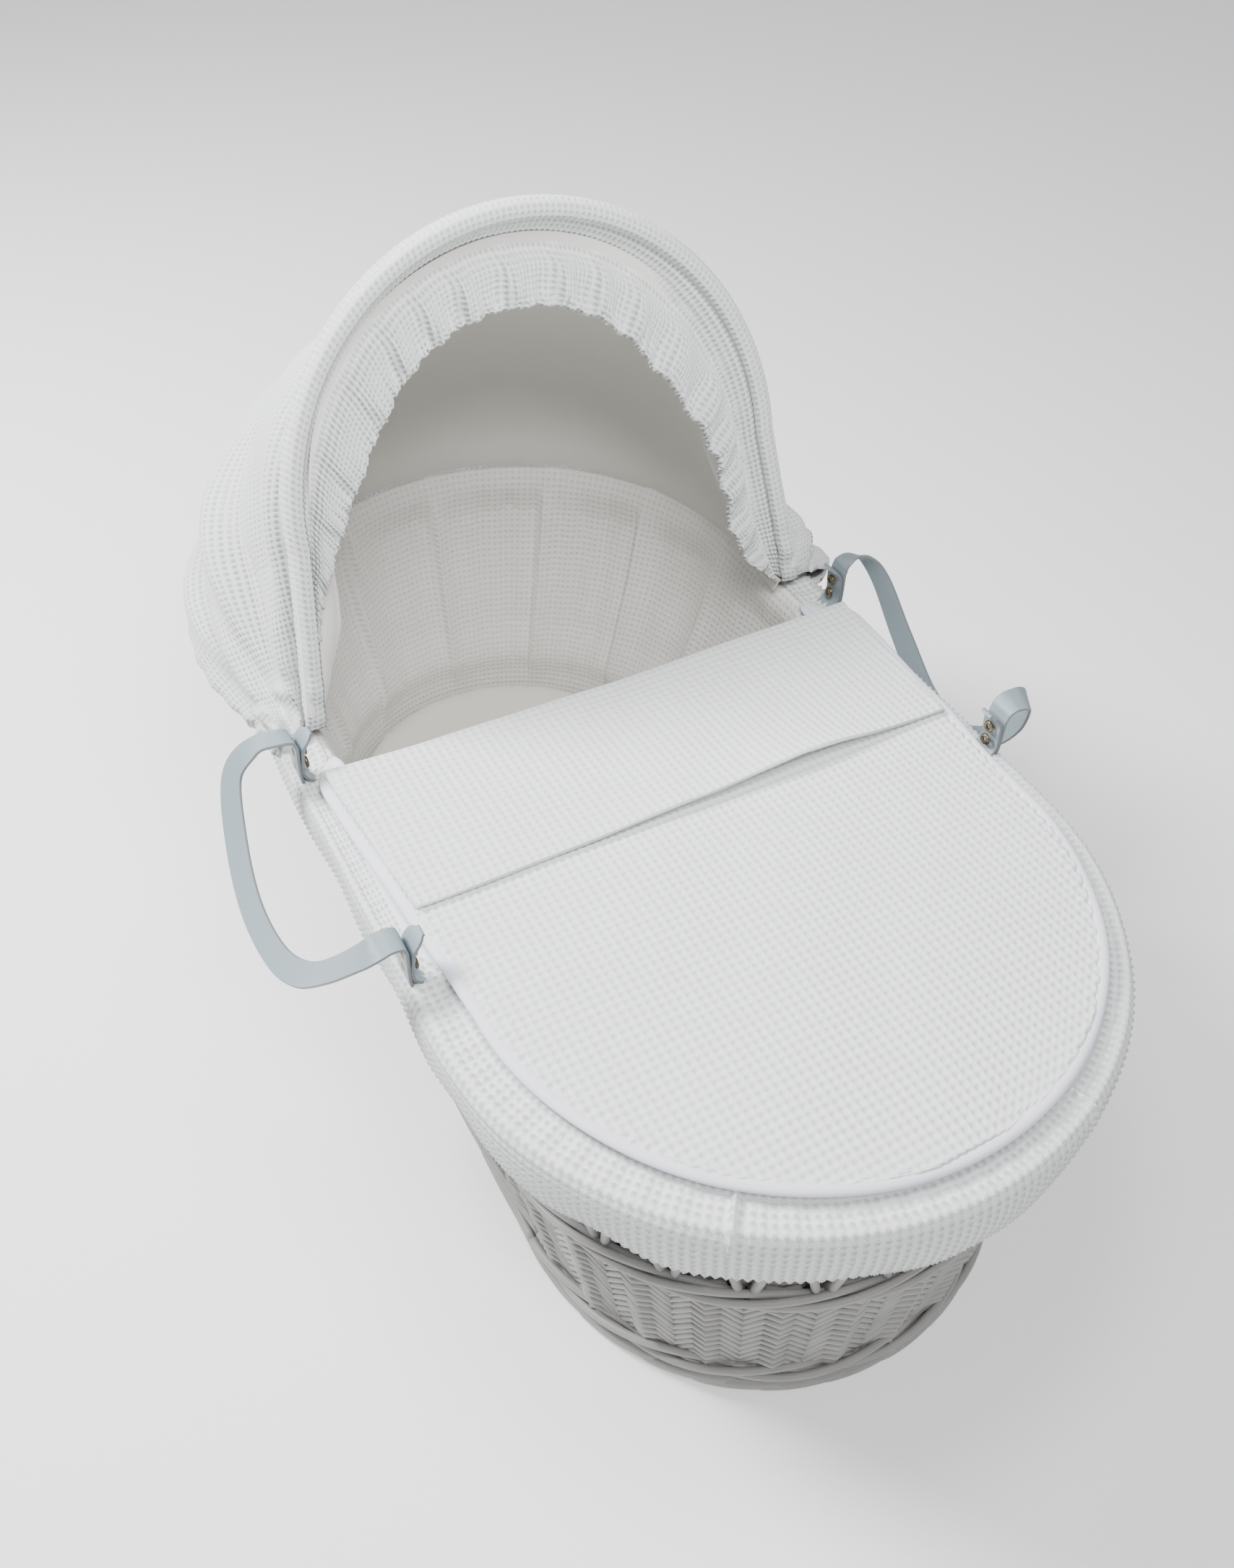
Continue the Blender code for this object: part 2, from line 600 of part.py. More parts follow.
# Each strap's free length: share of the way between its loops, then out and up from the swing line.
LEFT_STRAP = ((0, 0, 0), (0, 0.008, 0.002), (-0.03, 0.022, -0.004), (-0.04, 0.040, -0.026),
              (0.14, 0.052, -0.055), (0.36, 0.058, -0.072), (0.58, 0.056, -0.074), (0.74, 0.048, -0.062),
              (0.88, 0.036, -0.034), (0.99, 0.020, -0.005), (1, 0.008, 0.001), (1, 0, 0))
RIGHT_STRAP = ((0, 0, 0), (0, 0.008, 0.003), (0.03, 0.022, 0), (0.08, 0.034, -0.020), (0.22, 0.040, -0.060),
               (0.42, 0.044, -0.094), (0.62, 0.044, -0.100), (0.80, 0.042, -0.076), (0.92, 0.040, -0.040),
               (0.99, 0.024, -0.004), (1, 0.008, 0.003), (1, 0, 0))


def free_strap(name, side, route):
    swing = side_y(0, RIM_HEIGHT, side) + side * SWING_OUT
    first, last = STRAP_LOOPS
    points = [Vector((first + (last - first) * share, swing + side * out, SWING_HEIGHT + up))
              for share, out, up in route]
    centres = smooth(points, 3)
    count = len(centres) - 1
    across = []
    for i in range(count + 1):
        share = math.sin(math.pi * i / count) ** 0.7
        along = centres[min(i + 1, count)] - centres[max(i - 1, 0)]
        outward = Vector((0, side * 0.35, 1.0))
        endways = Vector((1 if i <= count / 2 else -1, 0, 0))
        side_way = endways * (1 - share) + outward * share
        side_way -= along.normalized() * side_way.dot(along.normalized())
        across.append(side_way)
    for end, near in ((0, 1), (-1, -2)):
        share = STRAP_SWING_ROOM / (centres[near] - centres[end]).length
        centres[end] = centres[end].lerp(centres[near], share)
    ribbon(name, centres, across, STRAP_THICKNESS, leatherette)


# ---- Build ------------------------------------------------------------------------------------
clear_scene()
parts = collection("moses_basket")
cutters = collection("cutters")
willow = material("painted willow", (0.78, 0.78, 0.76), 0.45)
wood = material("painted hardboard", (0.75, 0.74, 0.70), 0.6)
waffle = material("waffle cotton", (0.86, 0.87, 0.86), 0.9)
cotton = material("plain cotton", (0.86, 0.86, 0.90), 0.8)
leatherette = material("grey leatherette", (0.42, 0.48, 0.49), 0.55)
steel = material("nickelled steel", (0.62, 0.58, 0.50), 0.35, 1.0)

base_board()
foot_border()
woven_wall()
upper_wale()
stake_lattice()
rim_border()
dressing = (liner(), cuff())
for rim_cutter in rim_cutters():
    cut(dressing[1], rim_cutter)
    if rim_cutter.name.startswith("loop"):
        cut(dressing[0], rim_cutter)
liner_floor()
cuff_elastic()
slot_bindings()
mattress()
coverlet()
hood_panels()
hood_hoop()
hood_frill()
hood_skirt()
strap_ends()
free_strap("left_strap", -1, LEFT_STRAP)
free_strap("right_strap", 1, RIGHT_STRAP)
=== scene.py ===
"""A dressed moses basket: painted willow, waffle cotton dressing, coverlet, folding hood and straps.

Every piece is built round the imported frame, in metres, +Z up and +X towards the foot end.
"""

import json
import math

import bmesh
import bpy
import numpy as np
from mathutils import Matrix, Vector


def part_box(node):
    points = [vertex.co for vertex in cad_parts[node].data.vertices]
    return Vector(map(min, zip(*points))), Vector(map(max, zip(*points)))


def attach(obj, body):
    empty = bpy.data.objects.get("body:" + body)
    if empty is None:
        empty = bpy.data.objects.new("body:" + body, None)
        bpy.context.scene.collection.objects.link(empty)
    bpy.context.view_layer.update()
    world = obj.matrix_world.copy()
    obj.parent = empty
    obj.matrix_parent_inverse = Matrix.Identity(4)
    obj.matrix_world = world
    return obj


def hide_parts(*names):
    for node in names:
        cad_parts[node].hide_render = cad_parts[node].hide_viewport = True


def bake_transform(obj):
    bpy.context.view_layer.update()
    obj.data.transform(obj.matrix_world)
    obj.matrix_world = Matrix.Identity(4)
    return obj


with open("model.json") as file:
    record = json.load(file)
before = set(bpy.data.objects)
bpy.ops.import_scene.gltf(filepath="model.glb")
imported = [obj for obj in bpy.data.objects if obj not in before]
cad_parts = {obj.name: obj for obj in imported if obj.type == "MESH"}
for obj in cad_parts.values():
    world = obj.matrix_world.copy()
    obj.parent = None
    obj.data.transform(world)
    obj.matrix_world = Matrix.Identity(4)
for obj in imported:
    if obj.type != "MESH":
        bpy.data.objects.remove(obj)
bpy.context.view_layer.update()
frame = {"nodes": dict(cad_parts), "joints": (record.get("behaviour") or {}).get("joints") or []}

bl_info = {
    "name": "Moses Basket",
    "version": (1, 0, 0),
    "blender": (4, 5, 0),
    "location": "View3D > Sidebar > Basket",
    "description": "Builds a dressed willow moses basket with a folding hood round its packed frame",
    "category": "Add Mesh",
}


# ---- Sizes from the frame ---------------------------------------------------------------------
def half_sizes(node):
    low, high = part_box(node)
    return (high[0] - low[0]) / 2, (high[1] - low[1]) / 2


def middle_height(node):
    low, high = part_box(node)
    return (low[2] + high[2]) / 2


RIM_RADIUS = (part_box("rim_border")[1][2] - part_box("rim_border")[0][2]) / 2
RIM_HEIGHT = middle_height("rim_border")
RIM_HALF_LENGTH, RIM_HALF_WIDTH = (size - RIM_RADIUS for size in half_sizes("rim_border"))
BASE_HALF_LENGTH, BASE_HALF_WIDTH = half_sizes("base_board")
WALE_HEIGHT = middle_height("upper_wale")
LATTICE_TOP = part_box("stake_lattice")[1][2]
WALL_BOTTOM, WALL_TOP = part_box("woven_wall")[0][2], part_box("woven_wall")[1][2]
DRESSING_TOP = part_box("liner")[1][2]
FLOOR_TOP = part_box("liner_floor")[1][2]
COVERLET_LOW, COVERLET_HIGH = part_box("coverlet_panel")
TURNBACK_LOW, TURNBACK_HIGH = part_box("coverlet_turnback")
BINDING_LOW, BINDING_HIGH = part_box("coverlet_binding")
JOINTS = {joint["name"]: joint for joint in frame["joints"]}
HINGE = Vector(JOINTS["hood_fold"]["pos_m"])
SWING = {side: Vector(JOINTS[f"{side}_strap_swing"]["pos_m"]) for side in ("left", "right")}

SIDE_PITCHES = 7             # pairs of stakes along each straight side
END_PITCHES = 13             # and round each end
PITCHES = 2 * (SIDE_PITCHES + END_PITCHES)
HOOD_TILT = math.radians(17)
HOOD_HEIGHT = 0.309
HOOD_ARCH_RADIUS = 0.183
HOOD_FOOT_HALF_WIDTH = 0.200
SEED = 11


class BasketSizes(bpy.types.PropertyGroup):
    """Sizes that a maker would change without touching the frame."""
    rod: bpy.props.FloatProperty(name="Weaving rod", description="Diameter of a willow weaving rod",
                                 default=0.0060, unit="LENGTH")
    stake: bpy.props.FloatProperty(name="Stake", description="Diameter of a willow stake",
                                   default=0.0062, unit="LENGTH")
    row: bpy.props.FloatProperty(name="Row spacing", description="Height of one row of weaving",
                                 default=0.0092, unit="LENGTH")
    cell: bpy.props.FloatProperty(name="Waffle cell", description="Width of one cell of the waffle cloth",
                                  default=0.0058, unit="LENGTH")
    relief: bpy.props.FloatProperty(name="Waffle depth", description="Depth of a cell below its ridges",
                                    default=0.0019, unit="LENGTH")
    strap_width: bpy.props.FloatProperty(name="Strap width", description="Width of a carry strap",
                                         default=0.018, unit="LENGTH")
    strap_thickness: bpy.props.FloatProperty(name="Strap thickness", description="Thickness of a strap",
                                             default=0.0022, unit="LENGTH")
    frill_pleats: bpy.props.IntProperty(name="Frill pleats", description="Gathers round the hood's frill",
                                        default=40)


def colour_property(name, sheet_hex, description):
    return bpy.props.StringProperty(name=name, description=description, default=sheet_hex)


class BasketColours(bpy.types.PropertyGroup):
    """Finishes, as sRGB hex values."""
    # The willow's grey is painted shade: its white paint is darkened as if the whole wall stood in shade.
    willow: colour_property("Painted willow", "#939290", "White paint sprayed on willow")
    chipped: colour_property("Bare willow", "#b79a6e", "Wood where the paint has chipped")
    cotton: colour_property("Cotton", "#e9ebeb", "White waffle cotton")
    piping: colour_property("Piping", "#e6e6f2", "Plain cotton bias binding")
    lining: colour_property("Lining", "#e6e4dd", "Plain cotton hood lining")
    strap: colour_property("Strap", "#86949a", "Grey-blue leatherette")
    strap_edge: colour_property("Strap edge", "#6f7478", "Cut edge of the leatherette")
    brass: colour_property("Studs", "#7d6f58", "Antique brass press studs")


# ---- Mesh tools -------------------------------------------------------------------------------
def sizes():
    return bpy.context.scene.basket_sizes


def colours():
    return bpy.context.scene.basket_colours


def finish_object(name, mesh, material, smooth=True):
    thing = bpy.data.objects.new(name, mesh)
    bpy.context.collection.objects.link(thing)
    mesh.materials.clear()
    mesh.materials.append(material)
    if smooth:
        mesh.shade_smooth()
    return thing


def vertex_places(mesh):
    flat = np.empty(len(mesh.vertices) * 3)
    mesh.vertices.foreach_get("co", flat)
    return flat.reshape(-1, 3)


def loop_corners(mesh):
    corner = np.empty(len(mesh.loops), dtype=int)
    mesh.loops.foreach_get("vertex_index", corner)
    return corner


def grid_mesh(name, points, uv, closed_a=False, closed_b=False):
    """A mesh through a grid of points, shaped (a, b, 3), with its own UV map in metres."""
    count_a, count_b = points.shape[0] - 1, points.shape[1] - 1
    bm = bmesh.new()
    bm.loops.layers.uv.new("UVMap")
    bmesh.ops.create_grid(bm, x_segments=count_a, y_segments=count_b, size=0.5, calc_uvs=True)
    mesh = bpy.data.meshes.new(name)
    bm.to_mesh(mesh)
    bm.free()
    flat = vertex_places(mesh)
    at_a = np.rint((flat[:, 0] + 0.5) * count_a).astype(int)
    at_b = np.rint((flat[:, 1] + 0.5) * count_b).astype(int)
    corner = loop_corners(mesh)
    mesh.vertices.foreach_set("co", points[at_a, at_b].ravel())
    mesh.uv_layers[0].data.foreach_set("uv", uv[at_a[corner], at_b[corner]].ravel())
    mesh.update()
    bm = bmesh.new()
    bm.from_mesh(mesh)
    if closed_a or closed_b:
        bmesh.ops.remove_doubles(bm, verts=[v for v in bm.verts if v.is_boundary], dist=1e-5)
    bm.to_mesh(mesh)
    bm.free()
    return mesh


def surface_normals(points, closed_a=False, closed_b=False):
    """Unit normals of a grid of points, along the cross product of its two directions."""
    def slope(axis, closed):
        if not closed:
            return np.gradient(points, axis=axis)
        body = np.take(points, range(points.shape[axis] - 1), axis=axis)
        turn = (np.roll(body, -1, axis) - np.roll(body, 1, axis)) / 2
        return np.concatenate([turn, np.take(turn, [0], axis=axis)], axis=axis)
    normal = np.cross(slope(0, closed_a), slope(1, closed_b))
    return normal / np.maximum(np.linalg.norm(normal, axis=2, keepdims=True), 1e-12)


def canes(name, routes, radius, material, tapers=None, resolution=1):
    """Round rods along routes of points, as one mesh; tapers gives each point's share of the radius."""
    curve = bpy.data.curves.new(name, "CURVE")
    curve.dimensions = "3D"
    curve.bevel_depth = radius
    curve.bevel_resolution = resolution
    curve.use_fill_caps = True
    for index, route in enumerate(routes):
        spline = curve.splines.new("POLY")
        spline.points.add(len(route) - 1)
        spline.points.foreach_set("co", np.hstack([route, np.ones((len(route), 1))]).ravel())
        if tapers is not None:
            spline.points.foreach_set("radius", np.asarray(tapers[index], dtype=float))
    guide = bpy.data.objects.new(name + "_guide", curve)
    bpy.context.collection.objects.link(guide)
    graph = bpy.context.evaluated_depsgraph_get()
    mesh = bpy.data.meshes.new_from_object(guide.evaluated_get(graph))
    bpy.data.objects.remove(guide)
    bm = bmesh.new()
    bm.from_mesh(mesh)
    bmesh.ops.remove_doubles(bm, verts=[v for v in bm.verts if v.is_boundary], dist=1e-6)
    bm.to_mesh(mesh)
    bm.free()
    mesh.name = name
    return finish_object(name, mesh, material)


def sweep(name, centres, radius, material, sides=10, closed=False, flatness=1.0):
    """A round tube along centres; an open one gets half-round ends."""
    along = np.gradient(centres, axis=0)
    if closed:
        along[0] = along[-1] = (centres[1] - centres[-2]) / 2
    along /= np.linalg.norm(along, axis=1, keepdims=True)
    side = np.cross(along, (0.0, 0.0, 1.0))
    side /= np.linalg.norm(side, axis=1, keepdims=True)
    over = np.cross(side, along)
    radii = np.broadcast_to(np.asarray(radius, dtype=float), (len(centres),)).copy()
    if not closed:
        cap = np.array([0.05, 0.5, 0.8, 0.95])
        radii[:4] *= cap
        radii[-4:] *= cap[::-1]
    turn = np.linspace(0, 2 * np.pi, sides + 1)
    ring = (np.cos(turn)[None, :, None] * side[:, None, :]
            + flatness * np.sin(turn)[None, :, None] * over[:, None, :])
    points = centres[:, None, :] + radii[:, None, None] * ring
    length = np.concatenate([[0], np.cumsum(np.linalg.norm(np.diff(centres, axis=0), axis=1))])
    uv = np.stack(np.broadcast_arrays(length[:, None], (turn * np.mean(radii))[None, :]), axis=2)
    mesh = grid_mesh(name, points, uv, closed_a=closed, closed_b=True)
    close_holes(mesh)
    return finish_object(name, mesh, material)


def close_holes(mesh):
    bm = bmesh.new()
    bm.from_mesh(mesh)
    edges = [edge for edge in bm.edges if edge.is_boundary]
    if edges:
        bmesh.ops.holes_fill(bm, edges=edges, sides=0)
    bmesh.ops.recalc_face_normals(bm, faces=bm.faces)
    bm.to_mesh(mesh)
    bm.free()


# ---- The basket's plan ------------------------------------------------------------------------
def half_sizes_at(z):
    share = np.asarray(z, dtype=float) / RIM_HEIGHT
    return (BASE_HALF_LENGTH + (RIM_HALF_LENGTH - BASE_HALF_LENGTH) * share,
            BASE_HALF_WIDTH + (RIM_HALF_WIDTH - BASE_HALF_WIDTH) * share)


def plan_ray(turns, side_share):
    """Where a walk round the basket has got to: its place along the straight, and its outward normal.

    turns counts whole walks from the foot end's left-hand corner, and side_share is a side's share."""
    half = np.mod(np.asarray(turns, dtype=float) * 2, 2)
    end = np.where(half < 1, 1.0, -1.0)
    part = np.mod(half, 1)
    on_arc = part < 1 - side_share
    angle = np.where(on_arc, -np.pi / 2 + np.pi * part / (1 - side_share), np.pi / 2)
    along = np.where(on_arc, 1.0, 1 - 2 * (part - (1 - side_share)) / side_share)
    return end * along, end * np.cos(angle), end * np.sin(angle)


def wall_points(turns, out, z, side_share):
    along, nx, ny = plan_ray(turns, side_share)
    half_length, half_width = half_sizes_at(z)
    reach = half_width + out
    return np.stack(np.broadcast_arrays(along * (half_length - half_width) + nx * reach, ny * reach, z),
                    axis=-1)


STAKE_SHARE = SIDE_PITCHES / (SIDE_PITCHES + END_PITCHES)


def by_pitch(pitch, out, z):
    """Points on the wall, counted in pairs of stakes."""
    return wall_points(np.asarray(pitch, dtype=float) / PITCHES, out, z, STAKE_SHARE)


SIDE_LENGTH = 2 * (RIM_HALF_LENGTH - RIM_HALF_WIDTH)
ROUND_LENGTH = math.pi * RIM_HALF_WIDTH
GIRTH = 2 * (SIDE_LENGTH + ROUND_LENGTH)
GIRTH_SHARE = SIDE_LENGTH / (SIDE_LENGTH + ROUND_LENGTH)


def by_girth(turns, out, z):
    """Points on the wall, evenly spaced round the rim."""
    return wall_points(turns, out, z, GIRTH_SHARE)


# ---- Materials --------------------------------------------------------------------------------
def linear(hex_value):
    """sRGB hex to linear RGBA."""
    parts = [int(hex_value[i:i + 2], 16) / 255 for i in (1, 3, 5)]
    return (*[c / 12.92 if c <= 0.04045 else ((c + 0.055) / 1.055) ** 2.4 for c in parts], 1.0)


def add(material, kind, settings=None, links=None):
    """A shader node with its settings, and links from other nodes' outputs to its inputs."""
    node = material.node_tree.nodes.new(kind)
    for key, value in (settings or {}).items():
        if isinstance(key, str) and hasattr(node, key):
            setattr(node, key, value)
        else:
            node.inputs[key].default_value = value
    for socket, source in (links or {}).items():
        material.node_tree.links.new(source, node.inputs[socket])
    return node


def new_material(name, **settings):
    """A material whose Principled shader has the given settings."""
    material = bpy.data.materials.new(name)
    material.use_nodes = True
    shader = material.node_tree.nodes["Principled BSDF"]
    for key, value in settings.items():
        shader.inputs[key.replace("_", " ").title().replace("Ior", "IOR")].default_value = value
    return material, shader


def join(material, source, shader, socket):
    material.node_tree.links.new(source, shader.inputs[socket])


def ramp(material, source, stops):
    node = add(material, "ShaderNodeValToRGB", links={"Fac": source})
    elements = node.color_ramp.elements
    while len(elements) < len(stops):
        elements.new(0.5)
    for element, (position, colour) in zip(elements, stops):
        element.position = position
        element.color = colour
    return node.outputs["Color"]


def tone(hex_value, factor):
    return tuple(c * factor for c in linear(hex_value)[:3]) + (1.0,)


def painted_willow():
    """Spray-painted willow: satin, its white paint darkened to grey all over as painted shade, with random
    lighter and darker patches and a few bare chips and knots.
    """
    material, shader = new_material("painted_willow", roughness=0.5)
    place = add(material, "ShaderNodeTexCoord").outputs["Object"]
    soft = add(material, "ShaderNodeTexNoise", {"Scale": 30.0, "Detail": 3.0}, {"Vector": place})
    # Painted shade: the grey willow colour, varied at random a little lighter and darker.
    base = ramp(material, soft.outputs["Fac"], [(0.3, tone(colours().willow, 0.88)),
                                                (0.7, tone(colours().willow, 1.04))])
    spots = add(material, "ShaderNodeTexNoise", {"Scale": 120.0, "Detail": 2.0, "Roughness": 0.6},
                {"Vector": place})
    chips = ramp(material, spots.outputs["Fac"], [(0.725, (0, 0, 0, 1)), (0.76, (1, 1, 1, 1))])
    mixed = add(material, "ShaderNodeMix", {"data_type": "RGBA"})
    material.node_tree.links.new(chips, mixed.inputs["Factor"])
    material.node_tree.links.new(base, mixed.inputs["A"])
    mixed.inputs["B"].default_value = linear(colours().chipped)
    join(material, mixed.outputs["Result"], shader, "Base Color")
    grain = add(material, "ShaderNodeTexNoise", {"Scale": 700.0, "Detail": 2.0}, {"Vector": place})
    bump = add(material, "ShaderNodeBump", {"Strength": 0.25, "Distance": 0.0006},
               {"Height": grain.outputs["Fac"]})
    join(material, bump.outputs["Normal"], shader, "Normal")
    return material


def shaded_willow():
    """Dark brown willow behind the weave: painted shade for the dark gaps between the rods."""
    material, shader = new_material("willow_backing_painted_shade", roughness=0.7)
    place = add(material, "ShaderNodeTexCoord").outputs["Object"]
    grain = add(material, "ShaderNodeTexNoise", {"Scale": 90.0, "Detail": 4.0}, {"Vector": place})
    base = ramp(material, grain.outputs["Fac"], [(0.35, linear("#2b2825")), (0.65, linear("#45413b"))])
    join(material, base, shader, "Base Color")
    return material


def cell_wave(material, cell):
    """1 in the middle of each waffle cell and 0 along its ridges, from the cloth's UV map in metres."""
    place = add(material, "ShaderNodeTexCoord").outputs["UV"]
    apart = add(material, "ShaderNodeSeparateXYZ", links={"Vector": place})
    waves = []
    for axis in ("X", "Y"):
        turn = add(material, "ShaderNodeMath", {"operation": "MULTIPLY", 1: math.pi / cell},
                   {0: apart.outputs[axis]})
        sine = add(material, "ShaderNodeMath", {"operation": "SINE"}, {0: turn.outputs[0]})
        waves.append(add(material, "ShaderNodeMath", {"operation": "MULTIPLY"},
                         {0: sine.outputs[0], 1: sine.outputs[0]}).outputs[0])
    both = add(material, "ShaderNodeMath", {"operation": "MULTIPLY"}, {0: waves[0], 1: waves[1]})
    return both.outputs[0], place


def waffle_cotton(name, hex_value, depth=0.0014, shade=0.66):
    """Honeycomb-weave cotton: matt, with raised square ridges and pits 6 mm apart, each pit darkened in
    colour as painted shade.
    """
    material, shader = new_material(name, roughness=0.92, sheen_weight=0.25, sheen_roughness=0.5)
    pit, place = cell_wave(material, sizes().cell)
    # Painted shade: the colour darkens towards each pit's middle, to the share given by shade.
    base = ramp(material, pit, [(0.0, linear(hex_value)), (0.75, tone(hex_value, shade))])
    join(material, base, shader, "Base Color")
    threads = add(material, "ShaderNodeTexNoise", {"Scale": 1400.0, "Detail": 2.0}, {"Vector": place})
    height = add(material, "ShaderNodeMath", {"operation": "MULTIPLY_ADD", 1: -1.0},
                 {0: pit, 2: threads.outputs["Fac"]})
    bump = add(material, "ShaderNodeBump", {"Strength": 0.55, "Distance": depth},
               {"Height": height.outputs[0]})
    join(material, bump.outputs["Normal"], shader, "Normal")
    return material


def plain_cotton(name, hex_value):
    """Plain-weave cotton: matt and smooth, with threads about 0.4 mm apart, drawn at 0.8 mm to show."""
    material, shader = new_material(name, roughness=0.85, sheen_weight=0.2, sheen_roughness=0.5,
                                    base_color=linear(hex_value))
    place = add(material, "ShaderNodeTexCoord").outputs["UV"]
    weave = add(material, "ShaderNodeTexNoise", {"Scale": 1200.0, "Detail": 2.0}, {"Vector": place})
    bump = add(material, "ShaderNodeBump", {"Strength": 0.2, "Distance": 0.0003},
               {"Height": weave.outputs["Fac"]})
    join(material, bump.outputs["Normal"], shader, "Normal")
    return material


def strap_leatherette():
    """Embossed leatherette: satin grey-blue faces with a fine grain, and darker cut edges."""
    material, shader = new_material("embossed_leatherette", roughness=0.48)
    edge = add(material, "ShaderNodeAttribute", {"attribute_name": "cut_edge"})
    face_colour = ramp(material, edge.outputs["Fac"], [(0.35, linear(colours().strap)),
                                                      (0.6, linear(colours().strap_edge))])
    join(material, face_colour, shader, "Base Color")
    place = add(material, "ShaderNodeTexCoord").outputs["UV"]
    grain = add(material, "ShaderNodeTexVoronoi", {"Scale": 900.0}, {"Vector": place})
    bump = add(material, "ShaderNodeBump", {"Strength": 0.25, "Distance": 0.0004},
               {"Height": grain.outputs["Distance"]})
    join(material, bump.outputs["Normal"], shader, "Normal")
    return material


def antique_brass():
    """Antique brass press studs: dark, with rubbed brighter high spots."""
    material, shader = new_material("antique_brass", metallic=1.0, roughness=0.35)
    place = add(material, "ShaderNodeTexCoord").outputs["Object"]
    wear = add(material, "ShaderNodeTexNoise", {"Scale": 400.0, "Detail": 3.0}, {"Vector": place})
    base = ramp(material, wear.outputs["Fac"], [(0.35, tone(colours().brass, 0.6)),
                                                (0.7, tone(colours().brass, 1.3))])
    join(material, base, shader, "Base Color")
    return material


def coated_wire():
    """White plastic-coated spring wire."""
    material, shader = new_material("coated_wire", roughness=0.35, base_color=linear("#e8e8e6"))
    place = add(material, "ShaderNodeTexCoord").outputs["Object"]
    grain = add(material, "ShaderNodeTexNoise", {"Scale": 300.0}, {"Vector": place})
    bump = add(material, "ShaderNodeBump", {"Strength": 0.1, "Distance": 0.0002},
               {"Height": grain.outputs["Fac"]})
    join(material, bump.outputs["Normal"], shader, "Normal")
    return material


def painted_board():
    """Hardboard under thin white paint, with its fibres showing."""
    material, shader = new_material("painted_hardboard", roughness=0.65)
    place = add(material, "ShaderNodeTexCoord").outputs["Object"]
    fibre = add(material, "ShaderNodeTexNoise", {"Scale": 220.0, "Detail": 5.0}, {"Vector": place})
    base = ramp(material, fibre.outputs["Fac"], [(0.3, linear("#c9c3b4")), (0.7, linear("#dcdad2"))])
    join(material, base, shader, "Base Color")
    return material


MATERIALS = {}


def material_for(name):
    makers = {
        "willow": painted_willow,
        "shaded_willow": shaded_willow,
        "waffle": lambda: waffle_cotton("waffle_cotton", colours().cotton),
        "coverlet_waffle": lambda: waffle_cotton("quilted_waffle_cotton", colours().cotton, 0.0009, 0.86),
        # Painted light: the liner is a brighter copy of the same waffle cotton, standing in for light that
        # reaches inside the basket.
        "liner_waffle": lambda: waffle_cotton("liner_waffle_cotton_painted_light", "#f9f8f4", 0.0016, 0.84),
        "piping": lambda: plain_cotton("bias_cut_cotton", colours().piping),
        "lining": lambda: plain_cotton("hood_lining_cotton", colours().lining),
        "ticking": lambda: plain_cotton("mattress_cotton", colours().lining),
        "strap": strap_leatherette,
        "brass": antique_brass,
        "wire": coated_wire,
        "board": painted_board,
    }
    if name not in MATERIALS:
        MATERIALS[name] = makers[name]()
    return MATERIALS[name]


def show_node(node, material):
    thing = frame["nodes"][node]
    thing.data.materials.clear()
    thing.data.materials.append(material_for(material))


# ---- Willow -----------------------------------------------------------------------------------
WEAVE_DIP = 0.017            # how far a rod dips between midway and its pair of stakes


def weave_rods():
    """Rows of rods woven round the stakes: each dips sharply at a pair and swells over the bend between."""
    chance = np.random.default_rng(SEED)
    step = sizes().row
    rows = int((WALL_TOP - WALL_BOTTOM + WEAVE_DIP) / step)
    per_pitch = 10
    pitch = np.arange(PITCHES * per_pitch + 1) / per_pitch
    away = 2 * np.abs(np.mod(pitch + 0.5, 1) - 0.5)
    crest = np.exp(-((away - 1) / 0.26) ** 2)
    rise = WEAVE_DIP * np.clip(away / 0.66, 0, 1)
    routes, tapers = [], []
    for row in range(rows):
        wander = chance.normal(0, 0.0007, PITCHES * 2 + 1)
        wander[-1] = wander[0]
        drift = np.interp(pitch * 2, np.arange(PITCHES * 2 + 1), wander)
        thick = chance.uniform(0.84, 1.06, PITCHES * 2 + 1)
        thick[-1] = thick[0]
        heights = WALL_BOTTOM - WEAVE_DIP + step * (row + 0.5) + rise + drift
        inside = (heights > WALL_BOTTOM - 0.003) & (heights < WALL_TOP + 0.004)
        out = 0.0004 + 0.0036 * crest + 0.5 * drift - 0.0060 * ~inside
        routes.append(by_pitch(pitch, out, np.clip(heights, WALL_BOTTOM - 0.003, WALL_TOP + 0.004)))
        tapers.append(np.interp(pitch * 2, np.arange(PITCHES * 2 + 1), thick) * (0.88 + 0.32 * crest))
    return canes("weave_rods", routes, sizes().rod / 2, material_for("willow"), tapers, resolution=2)


def weave_back():
    """The same rows where they pass behind, seen through the gaps and from inside, coloured dark as painted
    shade.
    """
    step = sizes().row
    rows = int((WALL_TOP - WALL_BOTTOM) / step)
    count = 3 * PITCHES
    pitch = np.arange(count + 1) * PITCHES / count
    z = np.linspace(WALL_BOTTOM, WALL_TOP, rows * 2 + 1)
    grid_pitch, grid_z = np.meshgrid(pitch, z, indexing="ij")
    ripple = -0.0042 + 0.0009 * np.cos(np.pi * np.arange(rows * 2 + 1))[None, :]
    outer = by_pitch(grid_pitch, ripple, grid_z)
    inner = by_pitch(grid_pitch, -0.0060, grid_z)[:, ::-1]
    points = np.concatenate([outer, inner, outer[:, :1]], axis=1)
    uv = np.zeros(points.shape[:2] + (2,))
    mesh = grid_mesh("weave_back", points, uv, closed_a=True, closed_b=True)
    close_holes(mesh)
    return finish_object("weave_back", mesh, material_for("shaded_willow"))


